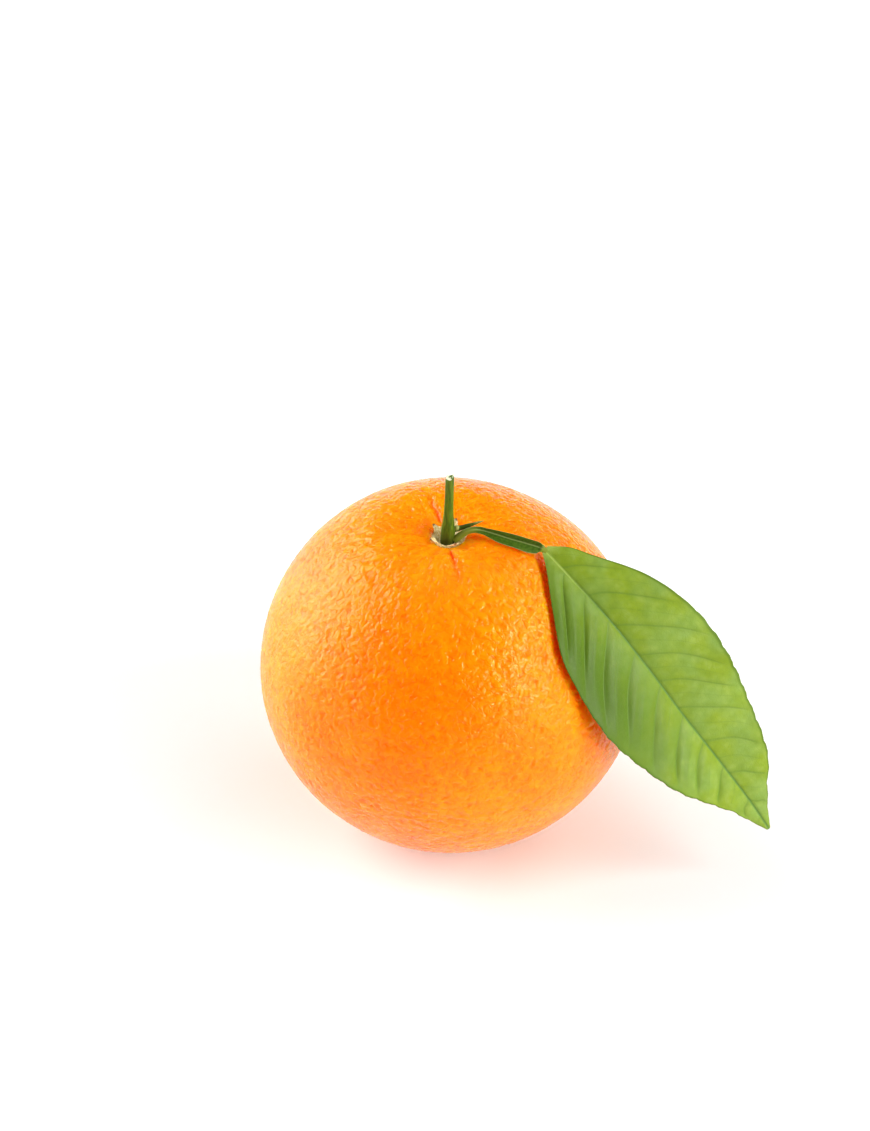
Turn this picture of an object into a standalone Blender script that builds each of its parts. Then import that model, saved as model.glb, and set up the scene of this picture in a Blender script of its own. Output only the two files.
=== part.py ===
"""A sweet orange, picked with a short piece of its twig and one leaf.

The fruit stands on a small flat spot, stem end up. A dry calyx sits in the dent at the
top, and holds the cut stem. A winged leaf stalk and a thorn leave the stem just above
the calyx, and the leaf hangs over the right shoulder of the fruit.
Metres, +Z up, origin at the middle of the flat spot, +X towards the leaf.
"""

import math
from collections.abc import Callable
from dataclasses import dataclass

import bmesh
import bpy
import numpy as np
from mathutils import Vector, noise

MM = 0.001
GAP = 0.3 * MM  # clearance between pieces that touch

# The fruit
FRUIT_WIDTH = 80 * MM
FRUIT_HEIGHT = 78 * MM  # of the rounded body, before its dent and its flat spot
SPOT_RADIUS = 8.5 * MM
POLE_LEAN = -0.8 * MM  # how far the stem end sits to the side
SHOULDER_REACH = 17 * MM
SHOULDER_DROP = 1.9 * MM
DENT_REACH = 7.5 * MM
DENT_DROP = 2.3 * MM
SOCKET_RADIUS = 4.0 * MM  # the pocket that the calyx sits in
SOCKET_DEPTH = 1.75 * MM
SOCKET_PLACE = (-0.45 * MM, 0.3 * MM)
# The creases that run out of the dent: bearing from +X, reach from the stem, depth
CREASES = (
    (-81, 17.0 * MM, 0.90 * MM),
    (-47, 10.5 * MM, 0.45 * MM),
    (-12, 11.5 * MM, 0.40 * MM),
    (24, 13.0 * MM, 0.50 * MM),
    (66, 11.0 * MM, 0.45 * MM),
    (108, 18.0 * MM, 0.95 * MM),
    (143, 11.0 * MM, 0.45 * MM),
    (178, 12.5 * MM, 0.50 * MM),
    (214, 10.5 * MM, 0.45 * MM),
    (247, 14.0 * MM, 0.60 * MM),
)
CREASE_WIDTH = 0.8 * MM
PIT_SPACING = 5.2 * MM  # the oil glands, larger than life
PIT_DEPTH = 0.4 * MM
PIT_SPREAD = 0.42  # share of the spacing
SWELL_SIZE = 15 * MM
SWELL_DEPTH = 0.35 * MM
SCAR_PLACE = (-3.4 * MM, 2.6 * MM)
SCAR_RADIUS = 1.7 * MM
SCAR_DEPTH = 0.5 * MM
FRUIT_SEGMENTS = 96
FRUIT_RINGS = 50
RING_CROWDING = 1.25  # above 1, the rings lie closer together at the stem end

# The calyx
CALYX_RADIUS = 3.2 * MM
SEPAL_COUNT = 5
SEPAL_LENGTH = 0.45 * MM
SEPAL_UNEVENNESS = 0.12
CALYX_FLOOR = 0.35 * MM
CALYX_SIDES = 40
# The section of its cup, from the middle of the foot round the rim: radius share, height
CALYX_SECTION = (
    (0.25, 0.0),
    (0.80, 0.0),
    (0.93, 0.5 * MM),
    (1.0, 1.6 * MM),
    (0.89, 1.65 * MM),
    (0.80, 0.8 * MM),
    (0.66, CALYX_FLOOR),
    (0.25, CALYX_FLOOR),
)

# The stem, with its thorn and its bud
STEM_TOP = 90.2 * MM
STEM_PLACE = -0.75 * MM
STEM_LEAN = 0.45 * MM
STEM_TIP_RADIUS = 0.88 * MM
STEM_TAPER = 0.12 * MM
STEM_NODE_RADIUS = 1.55 * MM
STEM_NODE_HEIGHT = 5.1 * MM
STEM_NODE_FADE = 1.3 * MM
STEM_RIDGES = 5
STEM_RIDGE_DEPTH = 0.04  # share of the radius
STEM_SIDES = 20
STEM_STATIONS = 18
SPLINTER = 0.7 * MM  # how far the torn fibre stands above the cut
THORN_ROOT = (0.0, 0.25, 75.6)
THORN_BEND = (3.3, 0.75, 76.5)
THORN_TIP = (6.75, 1.25, 77.5)
THORN_RADIUS = 0.5 * MM
THORN_TAPER = 0.72
THORN_SIDES = 8
THORN_STATIONS = 8
BUD_PLACE = (0.95, 0.4, 76.0)
BUD_RADIUS = 0.55 * MM

# The winged leaf stalk: the points that its rib passes through, in millimetres
STALK_POINTS = (
    (1.35, -0.75, 74.55),
    (2.45, -0.75, 75.6),
    (3.9, -0.85, 76.65),
    (5.9, -1.2, 77.2),
    (9.0, -2.2, 77.05),
    (12.1, -3.0, 76.5),
    (15.3, -3.5, 75.8),
    (18.3, -3.9, 74.95),
)
# Half-width of the stalk along it: share of the length, millimetres
STALK_OUTLINE = (
    (0.0, 0.5),
    (0.2, 0.6),
    (0.32, 0.95),
    (0.55, 1.75),
    (0.75, 1.95),
    (0.90, 1.5),
    (1.0, 0.6),
)
STALK_FOLDS = ((28, 28), (58, 58))  # degrees that each wing rises from the rib
STALK_RIB = (0.4 * MM, 0.5 * MM)  # depth of the rib beneath the blade, foot and tip
STALK_STATIONS = 22
STALK_COLUMNS = 5

# The leaf: the points that its midrib passes through, in millimetres
MIDRIB_POINTS = (
    (19.05, -4.35, 74.6),
    (24.1, -8.6, 71.2),
    (32.2, -13.4, 63.9),
    (40.3, -17.2, 54.0),
    (47.6, -19.6, 43.4),
    (55.3, -21.0, 31.9),
    (62.6, -22.0, 20.4),
    (67.2, -22.7, 12.3),
)
LEAF_FACES = Vector((0.0, -0.731, 0.682))  # the way its upper side looks
# Half-widths of the leaf along it, over the fruit and away from it
LEFT_OUTLINE = (
    (0.0, 0.7),
    (0.05, 3.4),
    (0.12, 8.5),
    (0.21, 14.2),
    (0.30, 16.1),
    (0.42, 16.9),
    (0.55, 15.1),
    (0.70, 11.5),
    (0.82, 7.0),
    (0.88, 4.4),
    (0.94, 2.5),
    (1.0, 0.5),
)
RIGHT_OUTLINE = (
    (0.0, 1.1),
    (0.04, 4.2),
    (0.10, 6.9),
    (0.22, 12.2),
    (0.32, 14.7),
    (0.43, 15.4),
    (0.58, 13.8),
    (0.72, 11.1),
    (0.82, 8.4),
    (0.88, 5.2),
    (0.94, 2.4),
    (1.0, 0.5),
)
LEAF_LENGTH = 83 * MM
LEFT_FOLD = (33, 14)  # degrees that each half rises from the midrib, foot and tip
RIGHT_FOLD = (10, 5)
LEAF_ARCH = 0.5 * MM  # how far each half curls back down at its edge
LEAF_RIB = (0.65 * MM, 0.1 * MM)
LEAF_STATIONS = 54
LEAF_COLUMNS = 10
VEIN_PAIRS = 9
VEIN_CROWDING = 0.87  # below 1, the veins lie closer together near the foot
VEIN_SLANT = 0.9  # how far a side vein runs towards the tip for each step outwards
QUILT_HEIGHT = 0.3 * MM
WAVE_COUNT = 4.0
WAVE_HEIGHT = 0.7 * MM
WAVE_STARTS = (2.6, 0.9)  # where the wave of each margin begins, as an angle
TEETH_PER_SIDE = 17
TOOTH_DEPTH = 0.4 * MM

BLADE_THICKNESS = 0.7 * MM
RIB_WIDTH = 0.8 * MM
COLUMN_CROWDING = 1.25  # above 1, the columns of a blade lie closer together at its rib
PATH_STEPS = 16
SHARP_EDGE = math.radians(50)

# Colour and roughness of each piece
RIND = ((0.93, 0.28, 0.01), 0.38)
DRY_CALYX = ((0.42, 0.31, 0.12), 0.75)
GREEN_BARK = ((0.10, 0.14, 0.02), 0.5)
STALK_GREEN = ((0.07, 0.17, 0.03), 0.45)
LEAF_GREEN = ((0.16, 0.34, 0.04), 0.42)
CUTTER_GREY = ((0.5, 0.5, 0.5), 0.5)

half_width = FRUIT_WIDTH / 2
half_height = FRUIT_HEIGHT / 2
centre_height = half_height * math.sqrt(1 - (SPOT_RADIUS / half_width) ** 2)


@dataclass(frozen=True)
class Blade:
    """The design of one thin folded blade. Pairs hold the left half, then the right."""

    name: str
    rib_points: tuple  # the points that the rib passes through, in millimetres
    stations: int
    columns: int  # on each side of the rib
    outlines: tuple  # half-widths along the blade
    folds: tuple  # degrees that each half rises from the rib, at the foot and at the tip
    rib_depth: tuple  # beneath the blade, at the foot and at the tip
    finish: tuple
    edge_at: Callable = lambda share: 0.0  # what the margin adds to the width
    lift_at: Callable = lambda share, across, out, half: 0.0  # height of the relief


def clear_scene():
    """Removes everything that the file opened with."""
    for thing in list(bpy.data.objects):
        bpy.data.objects.remove(thing)


def surface(name, finish):
    """A Principled material from a colour and a roughness."""
    colour, roughness = finish
    made = bpy.data.materials.new(name)
    made.use_nodes = True
    shader = made.node_tree.nodes["Principled BSDF"]
    shader.inputs["Base Color"].default_value = (*colour, 1.0)
    shader.inputs["Roughness"].default_value = roughness
    shader.inputs["Metallic"].default_value = 0.0
    return made


def add_object(name, mesh, material):
    """Turns a bmesh into a smooth-shaded object."""
    data = bpy.data.meshes.new(name)
    mesh.to_mesh(data)
    mesh.free()
    data.materials.append(material)
    data.shade_smooth()
    data.set_sharp_from_angle(angle=SHARP_EDGE)
    made = bpy.data.objects.new(name, data)
    bpy.context.scene.collection.objects.link(made)
    return made


def smooth_path(points, count):
    """Evenly spaced points on one smooth curve through the given points."""
    knots = np.array(points, float)
    ends = np.vstack([2 * knots[0] - knots[1], knots, 2 * knots[-1] - knots[-2]])
    steps = np.arange(PATH_STEPS)[:, None] / PATH_STEPS
    runs = []
    for a, b, c, d in zip(ends, ends[1:], ends[2:], ends[3:]):
        bend = 2 * a - 5 * b + 4 * c - d
        twist = 3 * b - a - 3 * c + d
        runs.append(b + 0.5 * ((c - a) * steps + bend * steps**2 + twist * steps**3))
    fine = np.vstack([*runs, knots[-1]])
    reach = np.concatenate([[0], np.cumsum(np.linalg.norm(np.diff(fine, axis=0), axis=1))])
    even = np.linspace(0, reach[-1], count)
    return np.stack([np.interp(even, reach, column) for column in fine.T], axis=1)


def along_outline(outline, share):
    """Half-width at a share of the length, read from a smooth curve through the outline."""
    fine = smooth_path(outline, PATH_STEPS * len(outline))
    return float(np.interp(share, fine[:, 0], fine[:, 1]))


def between(ends, share):
    """The value at a share of the way between a pair of ends."""
    return ends[0] + (ends[1] - ends[0]) * share


def bell(x):
    """1 at 0, falling smoothly to 0 at 1 and beyond."""
    return (1 - min(1.0, x * x)) ** 2


def rise(x, low, high):
    """0 below low, 1 above high, smooth between."""
    t = min(1.0, max(0.0, (x - low) / (high - low)))
    return t * t * (3 - 2 * t)


def body_height(radius):
    """Height of the bare rind above the middle of the fruit, near the stem end."""
    dome = half_height * math.sqrt(1 - (radius / half_width) ** 2)
    shoulder = SHOULDER_DROP * bell(radius / SHOULDER_REACH)
    return dome - shoulder - DENT_DROP * bell(radius / DENT_REACH)


socket_floor = centre_height + body_height(SOCKET_RADIUS) - SOCKET_DEPTH


def crease_depth(radius, bearing):
    """How deep the creases cut at this radius and bearing from the stem."""
    depth = 0.0
    for degrees, reach, deepest in CREASES:
        apart = math.remainder(bearing - math.radians(degrees), math.tau)
        across = radius * abs(apart) / (CREASE_WIDTH * (0.6 + radius / reach))
        start = rise(radius, 0.8 * SOCKET_RADIUS, 1.6 * SOCKET_RADIUS)
        depth += deepest * start * bell(radius / reach) * math.exp(-across * across)
    return depth


def rind_point(direction):
    """The point of the rind in a direction from the middle of the fruit."""
    polar = math.pi * (math.acos(max(-1.0, min(1.0, direction.z))) / math.pi) ** RING_CROWDING
    bearing = math.atan2(direction.y, direction.x)
    radius = half_width * math.sin(polar)
    if polar < math.pi / 2 and radius < SHOULDER_REACH:
        height = body_height(radius)
    else:
        height = half_height * math.cos(polar)
    point = Vector((radius * math.cos(bearing), radius * math.sin(bearing), height))
    outwards = Vector((point.x, point.y, point.z * (half_width / half_height) ** 2)).normalized()
    bare = rise(height + centre_height, 0.4 * MM, 3 * MM)
    if polar < math.pi / 2:
        bare *= rise(radius, SOCKET_RADIUS, 2.5 * SOCKET_RADIUS)
    nearest = noise.voronoi(point / PIT_SPACING)[0][0]
    pit = PIT_DEPTH * math.exp(-((nearest / PIT_SPREAD) ** 2))
    swell = SWELL_DEPTH * noise.noise(point / SWELL_SIZE)
    sunk = (pit - swell) * bare
    if polar < math.pi / 2:
        sunk += crease_depth(radius, bearing)
    point -= outwards * sunk
    point.x += POLE_LEAN * max(0.0, math.cos(polar)) ** 2
    point.z = max(0.0, point.z + centre_height)
    return point


def build_fruit():
    """The whole fruit: rounded body, dented and creased stem end, pits, flat spot and scar."""
    mesh = bmesh.new()
    bmesh.ops.create_uvsphere(
        mesh, u_segments=FRUIT_SEGMENTS, v_segments=FRUIT_RINGS, radius=1.0
    )
    for vertex in mesh.verts:
        vertex.co = rind_point(vertex.co.normalized())
    fruit = add_object("fruit", mesh, surface("rind", RIND))

    pocket = bmesh.new()
    bmesh.ops.create_cone(
        pocket,
        cap_ends=True,
        segments=48,
        radius1=SOCKET_RADIUS,
        radius2=SOCKET_RADIUS,
        depth=4 * SOCKET_DEPTH,
    )
    place = (*SOCKET_PLACE, socket_floor + 2 * SOCKET_DEPTH)
    cut_away(fruit, "calyx_socket", pocket, place)

    dimple = bmesh.new()
    bmesh.ops.create_uvsphere(dimple, u_segments=16, v_segments=8, radius=SCAR_RADIUS)
    bmesh.ops.scale(dimple, vec=(1, 1, SCAR_DEPTH / SCAR_RADIUS), verts=dimple.verts)
    cut_away(fruit, "style_scar", dimple, (*SCAR_PLACE, 0.0))


def cut_away(body, name, mesh, place):
    """Cuts the shape of a mesh, moved to a place, out of a body."""
    combine(body, name, mesh, place, surface(name, CUTTER_GREY), "DIFFERENCE")


def grow_on(body, name, mesh, place, material):
    """Joins the shape of a mesh, moved to a place, to the body that it grows from."""
    combine(body, name, mesh, place, material, "UNION")


def combine(body, name, mesh, place, material, operation):
    """Keeps the mesh as a hidden object, which a Boolean modifier of the body uses."""
    helper = add_object(name, mesh, material)
    helper.location = place
    helper.hide_render = True
    helper.display_type = "WIRE"
    boolean = body.modifiers.new(name, "BOOLEAN")
    boolean.operation = operation
    boolean.object = helper


def ring(centre, radius, sides):
    """Points round an upright line. The radius is a function of the bearing."""
    bearings = [math.tau * i / sides for i in range(sides)]
    return [
        Vector(centre) + radius(b) * Vector((math.cos(b), math.sin(b), 0)) for b in bearings
    ]


def skin(loops):
    """A closed bmesh over loops of equal count, with a cap at each end."""
    mesh = bmesh.new()
    rows = [[mesh.verts.new(point) for point in loop] for loop in loops]
    count = len(rows[0])
    for near, far in zip(rows, rows[1:]):
        for i in range(count):
            j = (i + 1) % count
            mesh.faces.new((near[i], near[j], far[j], far[i]))
    caps = [mesh.faces.new(rows[0][::-1]), mesh.faces.new(rows[-1])]
    bmesh.ops.triangulate(mesh, faces=caps)
    bmesh.ops.recalc_face_normals(mesh, faces=mesh.faces)
    return mesh


def build_calyx():
    """The dry cup at the stem end, with its five short sepals."""

    def reach(bearing):
        lobe = abs(math.cos(SEPAL_COUNT / 2 * bearing)) ** 1.5
        uneven = SEPAL_UNEVENNESS * math.sin(2 * bearing + 0.7)
        return CALYX_RADIUS + SEPAL_LENGTH * lobe * (1 + uneven)

    def scaled_reach(share):
        return lambda bearing: share * reach(bearing)

    foot = socket_floor + GAP
    loops = [
        ring((*SOCKET_PLACE, foot + height), scaled_reach(share), CALYX_SIDES)
        for share, height in CALYX_SECTION
    ]
    add_object("calyx", skin(loops), surface("calyx", DRY_CALYX))


def stem_radius(height, length):
    """Radius of the stem: thick up to the leaf node, then slimmer towards the cut."""
    slim = STEM_TIP_RADIUS + STEM_TAPER * (1 - height / length)
    node = 1 / (1 + math.exp((height - STEM_NODE_HEIGHT) / STEM_NODE_FADE))
    return slim + (STEM_NODE_RADIUS - slim) * node


def stem_loops():
    """Ridged rings from the foot in the calyx to the cut, with its torn fibre."""
    foot = socket_floor + GAP + CALYX_FLOOR + GAP
    length = STEM_TOP - foot
    loops = []
    for i in range(STEM_STATIONS + 1):
        share = i / STEM_STATIONS
        radius = stem_radius(share * length, length)

        def ridged(bearing, radius=radius):
            return radius * (1 + STEM_RIDGE_DEPTH * math.cos(STEM_RIDGES * bearing))

        centre = (STEM_PLACE + STEM_LEAN * share, 0.0, foot + share * length)
        loops.append(ring(centre, ridged, STEM_SIDES))
    for point in loops[-1]:
        torn = (point.x - STEM_PLACE - STEM_LEAN) / STEM_TIP_RADIUS
        point.z += SPLINTER * rise(torn, 0.3, 1.0)
    return loops


def thorn_loops():
    """A slim spike that tapers along a slight bend."""
    path = smooth_path([THORN_ROOT, THORN_BEND, THORN_TIP], THORN_STATIONS) * MM
    loops = []
    for i, point in enumerate(path):
        forward = direction_at(path, i)
        side = forward.cross(Vector((0, 0, 1))).normalized()
        up = side.cross(forward)
        radius = THORN_RADIUS * (1 - THORN_TAPER * i / (THORN_STATIONS - 1))
        bearings = [math.tau * k / THORN_SIDES for k in range(THORN_SIDES)]
        loops.append([
            Vector(point) + radius * (math.cos(b) * side + math.sin(b) * up) for b in bearings
        ])
    return loops


def build_stem():
    """The green twig, with its thorn and its bud grown out of it."""
    bark = surface("stem", GREEN_BARK)
    stem = add_object("stem", skin(stem_loops()), bark)
    grow_on(stem, "thorn", skin(thorn_loops()), (0, 0, 0), bark)
    bud = bmesh.new()
    bmesh.ops.create_uvsphere(bud, u_segments=10, v_segments=8, radius=BUD_RADIUS)
    grow_on(stem, "bud", bud, Vector(BUD_PLACE) * MM, bark)


def direction_at(path, index):
    """The way a path runs at one of its points."""
    before = path[max(index - 1, 0)]
    after = path[min(index + 1, len(path) - 1)]
    return Vector(after - before).normalized()


def blade_sheets(mesh, blade, path):
    """The rows of corners on the upper and the lower face, one pair for each station."""
    sheets = []
    for i, point in enumerate(path):
        share = i / (blade.stations - 1)
        forward = direction_at(path, i)
        side = LEAF_FACES.cross(forward).normalized()
        up = forward.cross(side)
        above, below = [], []
        for column in range(-blade.columns, blade.columns + 1):
            across = abs(column / blade.columns) ** COLUMN_CROWDING
            half = 0 if column < 0 else 1
            width = along_outline(blade.outlines[half], share) * MM
            out = across * width + across**6 * blade.edge_at(share)
            fold = math.radians(between(blade.folds[half], share))
            outwards = math.cos(fold) * side * (1 if half else -1) + math.sin(fold) * up
            spot = Vector(point) + out * outwards + up * blade.lift_at(share, across, out, half)
            rib = between(blade.rib_depth, share) * math.exp(-((out / RIB_WIDTH) ** 2))
            above.append(mesh.verts.new(spot))
            below.append(mesh.verts.new(spot - up * (BLADE_THICKNESS + rib)))
        sheets.append((above, below))
    return sheets


def build_blade(blade):
    """A closed thin blade, split into triangles alike on both faces.

    Each split runs outwards and towards the tip, the way that the side veins do.
    """
    mesh = bmesh.new()
    sheets = blade_sheets(mesh, blade, smooth_path(blade.rib_points, blade.stations) * MM)
    last = 2 * blade.columns
    for (above, below), (next_above, next_below) in zip(sheets, sheets[1:]):
        for j in range(last):
            inner, outer = (j, j + 1) if j >= blade.columns else (j + 1, j)
            for near, far in ((above, next_above), (below, next_below)):
                mesh.faces.new((near[inner], near[outer], far[outer]))
                mesh.faces.new((near[inner], far[outer], far[inner]))
        for j in (0, last):
            mesh.faces.new((above[j], next_above[j], next_below[j], below[j]))
    for above, below in (sheets[0], sheets[-1]):
        for j in range(last):
            mesh.faces.new((above[j], below[j], below[j + 1], above[j + 1]))
    bmesh.ops.recalc_face_normals(mesh, faces=mesh.faces)
    add_object(blade.name, mesh, surface(blade.name, blade.finish))


def build_stalk():
    """The leaf stalk: a slim foot that widens into two folded wings."""
    build_blade(Blade(
        name="leaf_stalk",
        rib_points=STALK_POINTS,
        stations=STALK_STATIONS,
        columns=STALK_COLUMNS,
        outlines=(STALK_OUTLINE, STALK_OUTLINE),
        folds=STALK_FOLDS,
        rib_depth=STALK_RIB,
        finish=STALK_GREEN,
    ))


def leaf_tooth(share):
    """How far the teeth of the margin stand out at a share of the leaf's length."""
    tooth = TOOTH_DEPTH * abs(math.sin(math.pi * TEETH_PER_SIDE * share))
    return tooth * rise(share, 0.2, 0.5) * rise(1 - share, 0.0, 0.1)


def leaf_relief(share, across, out, half):
    """Bulges between the side veins, the wave of the margin and the arch of each half."""
    vein = max(0.0, share - VEIN_SLANT * out / LEAF_LENGTH) ** VEIN_CROWDING
    fade = rise(share, 0.0, 0.15) * rise(1 - share, 0.0, 0.2) * math.sin(math.pi * across)
    quilt = -QUILT_HEIGHT * math.cos(math.tau * (VEIN_PAIRS + 1) * vein) * fade
    wave = math.sin(math.tau * WAVE_COUNT * share + WAVE_STARTS[half]) * across * across
    return quilt + WAVE_HEIGHT * wave * bell(2 * share - 1) - LEAF_ARCH * across * across


def build_leaf():
    """The leaf blade: folded on its midrib, quilted between its veins, waved and toothed."""
    build_blade(Blade(
        name="leaf",
        rib_points=MIDRIB_POINTS,
        stations=LEAF_STATIONS,
        columns=LEAF_COLUMNS,
        outlines=(LEFT_OUTLINE, RIGHT_OUTLINE),
        folds=(LEFT_FOLD, RIGHT_FOLD),
        rib_depth=LEAF_RIB,
        finish=LEAF_GREEN,
        edge_at=leaf_tooth,
        lift_at=leaf_relief,
    ))


clear_scene()
build_fruit()
build_calyx()
build_stem()
build_stalk()
build_leaf()
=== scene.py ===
"""A ripe sweet orange on a pale floor, with its calyx, cut twig, thorn, leaf stalk and leaf.

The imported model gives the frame: metres, +Z up, origin at the middle of the flat spot that
the fruit rests on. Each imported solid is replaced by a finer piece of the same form.
"""

import logging
import math
from collections.abc import Sequence
from dataclasses import dataclass, field
from enum import Enum

import bpy
import numpy as np
from mathutils import Matrix, Vector


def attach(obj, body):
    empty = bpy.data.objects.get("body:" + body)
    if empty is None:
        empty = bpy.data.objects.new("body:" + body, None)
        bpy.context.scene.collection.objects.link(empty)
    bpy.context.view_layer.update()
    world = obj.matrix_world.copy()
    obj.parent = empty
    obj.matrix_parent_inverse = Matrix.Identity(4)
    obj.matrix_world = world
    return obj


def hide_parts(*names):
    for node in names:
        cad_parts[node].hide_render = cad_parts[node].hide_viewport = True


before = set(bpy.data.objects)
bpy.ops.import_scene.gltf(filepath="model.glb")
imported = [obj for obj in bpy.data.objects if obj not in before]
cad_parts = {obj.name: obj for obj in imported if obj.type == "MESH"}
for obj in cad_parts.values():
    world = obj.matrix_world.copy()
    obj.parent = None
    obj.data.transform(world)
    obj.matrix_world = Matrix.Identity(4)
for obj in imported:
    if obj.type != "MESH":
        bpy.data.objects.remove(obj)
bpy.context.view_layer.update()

log = logging.getLogger("orange")

MM = 0.001
BODY = "root"
MIDDLE_HEIGHT = 38.11 * MM  # of the fruit, above its flat spot
PATH_STEPS = 16
CALYX_GAP = 0.3 * MM  # from the bottom of its socket
TWIG_RISE = 0.2 * MM  # from the foot of the calyx to the twig's own

Point = tuple[float, float, float]
Colour = tuple[float, float, float]
Socket = bpy.types.NodeSocket
Value = float | int | bool | tuple | str | Socket | bpy.types.Material


class Slot(Enum):
    """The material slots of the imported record."""

    RIND = "rind"
    CALYX = "calyx"
    BARK = "bark"
    STALK = "stalk"
    LEAF = "leaf"


class Half(Enum):
    """The two halves of a leaf blade, with the sign of their side of the midrib."""

    LEFT = -1
    RIGHT = 1


# Shapes of curves


def rise(x: np.ndarray, low: float, high: float) -> np.ndarray:
    """0 below low, 1 above high, smooth between."""
    t = np.clip((np.asarray(x, float) - low) / (high - low), 0.0, 1.0)
    return t * t * (3 - 2 * t)


def bell(x: np.ndarray) -> np.ndarray:
    """1 at 0, falling smoothly to 0 at 1 and beyond."""
    return (1 - np.minimum(1.0, np.asarray(x, float) ** 2)) ** 2


def smooth_path(points: Sequence[Sequence[float]], count: int) -> np.ndarray:
    """Evenly spaced points on one smooth curve through the given points.

    Args:
        points: the points to pass through, in order.
        count: how many points to return.

    Returns:
        An array of count rows.
    """
    knots = np.array(points, float)
    ends = np.vstack([2 * knots[0] - knots[1], knots, 2 * knots[-1] - knots[-2]])
    steps = np.arange(PATH_STEPS)[:, None] / PATH_STEPS
    runs = []
    for a, b, c, d in zip(ends, ends[1:], ends[2:], ends[3:]):
        bend = 2 * a - 5 * b + 4 * c - d
        twist = 3 * b - a - 3 * c + d
        runs.append(b + 0.5 * ((c - a) * steps + bend * steps**2 + twist * steps**3))
    fine = np.vstack([*runs, knots[-1]])
    reach = np.concatenate([[0], np.cumsum(np.linalg.norm(np.diff(fine, axis=0), axis=1))])
    even = np.linspace(0, reach[-1], count)
    return np.stack([np.interp(even, reach, column) for column in fine.T], axis=1)


def read_curve(points: Sequence[Sequence[float]], x: np.ndarray) -> np.ndarray:
    """Values at x, read from a smooth curve through points of position and value."""
    fine = smooth_path(points, PATH_STEPS * len(points))
    return np.interp(x, fine[:, 0], fine[:, 1])


def unit(vectors: np.ndarray) -> np.ndarray:
    """The vectors at length 1."""
    return vectors / np.linalg.norm(vectors, axis=-1, keepdims=True)


def ripple(places: np.ndarray, seed: int, waves: int = 5) -> np.ndarray:
    """A smooth random value from about -1 to 1 at each place.

    Args:
        places: points, scaled so that one unit is one swell.
        seed: which pattern.
        waves: how many plane waves are added up.

    Returns:
        One value for each place.
    """
    random = np.random.default_rng(seed)
    total = np.zeros(places.shape[:-1])
    for _ in range(waves):
        direction = unit(random.normal(size=places.shape[-1])) * random.uniform(0.7, 1.3)
        total += np.sin(math.tau * (places @ direction + random.uniform()))
    return total / math.sqrt(waves)


# Node trees


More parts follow.
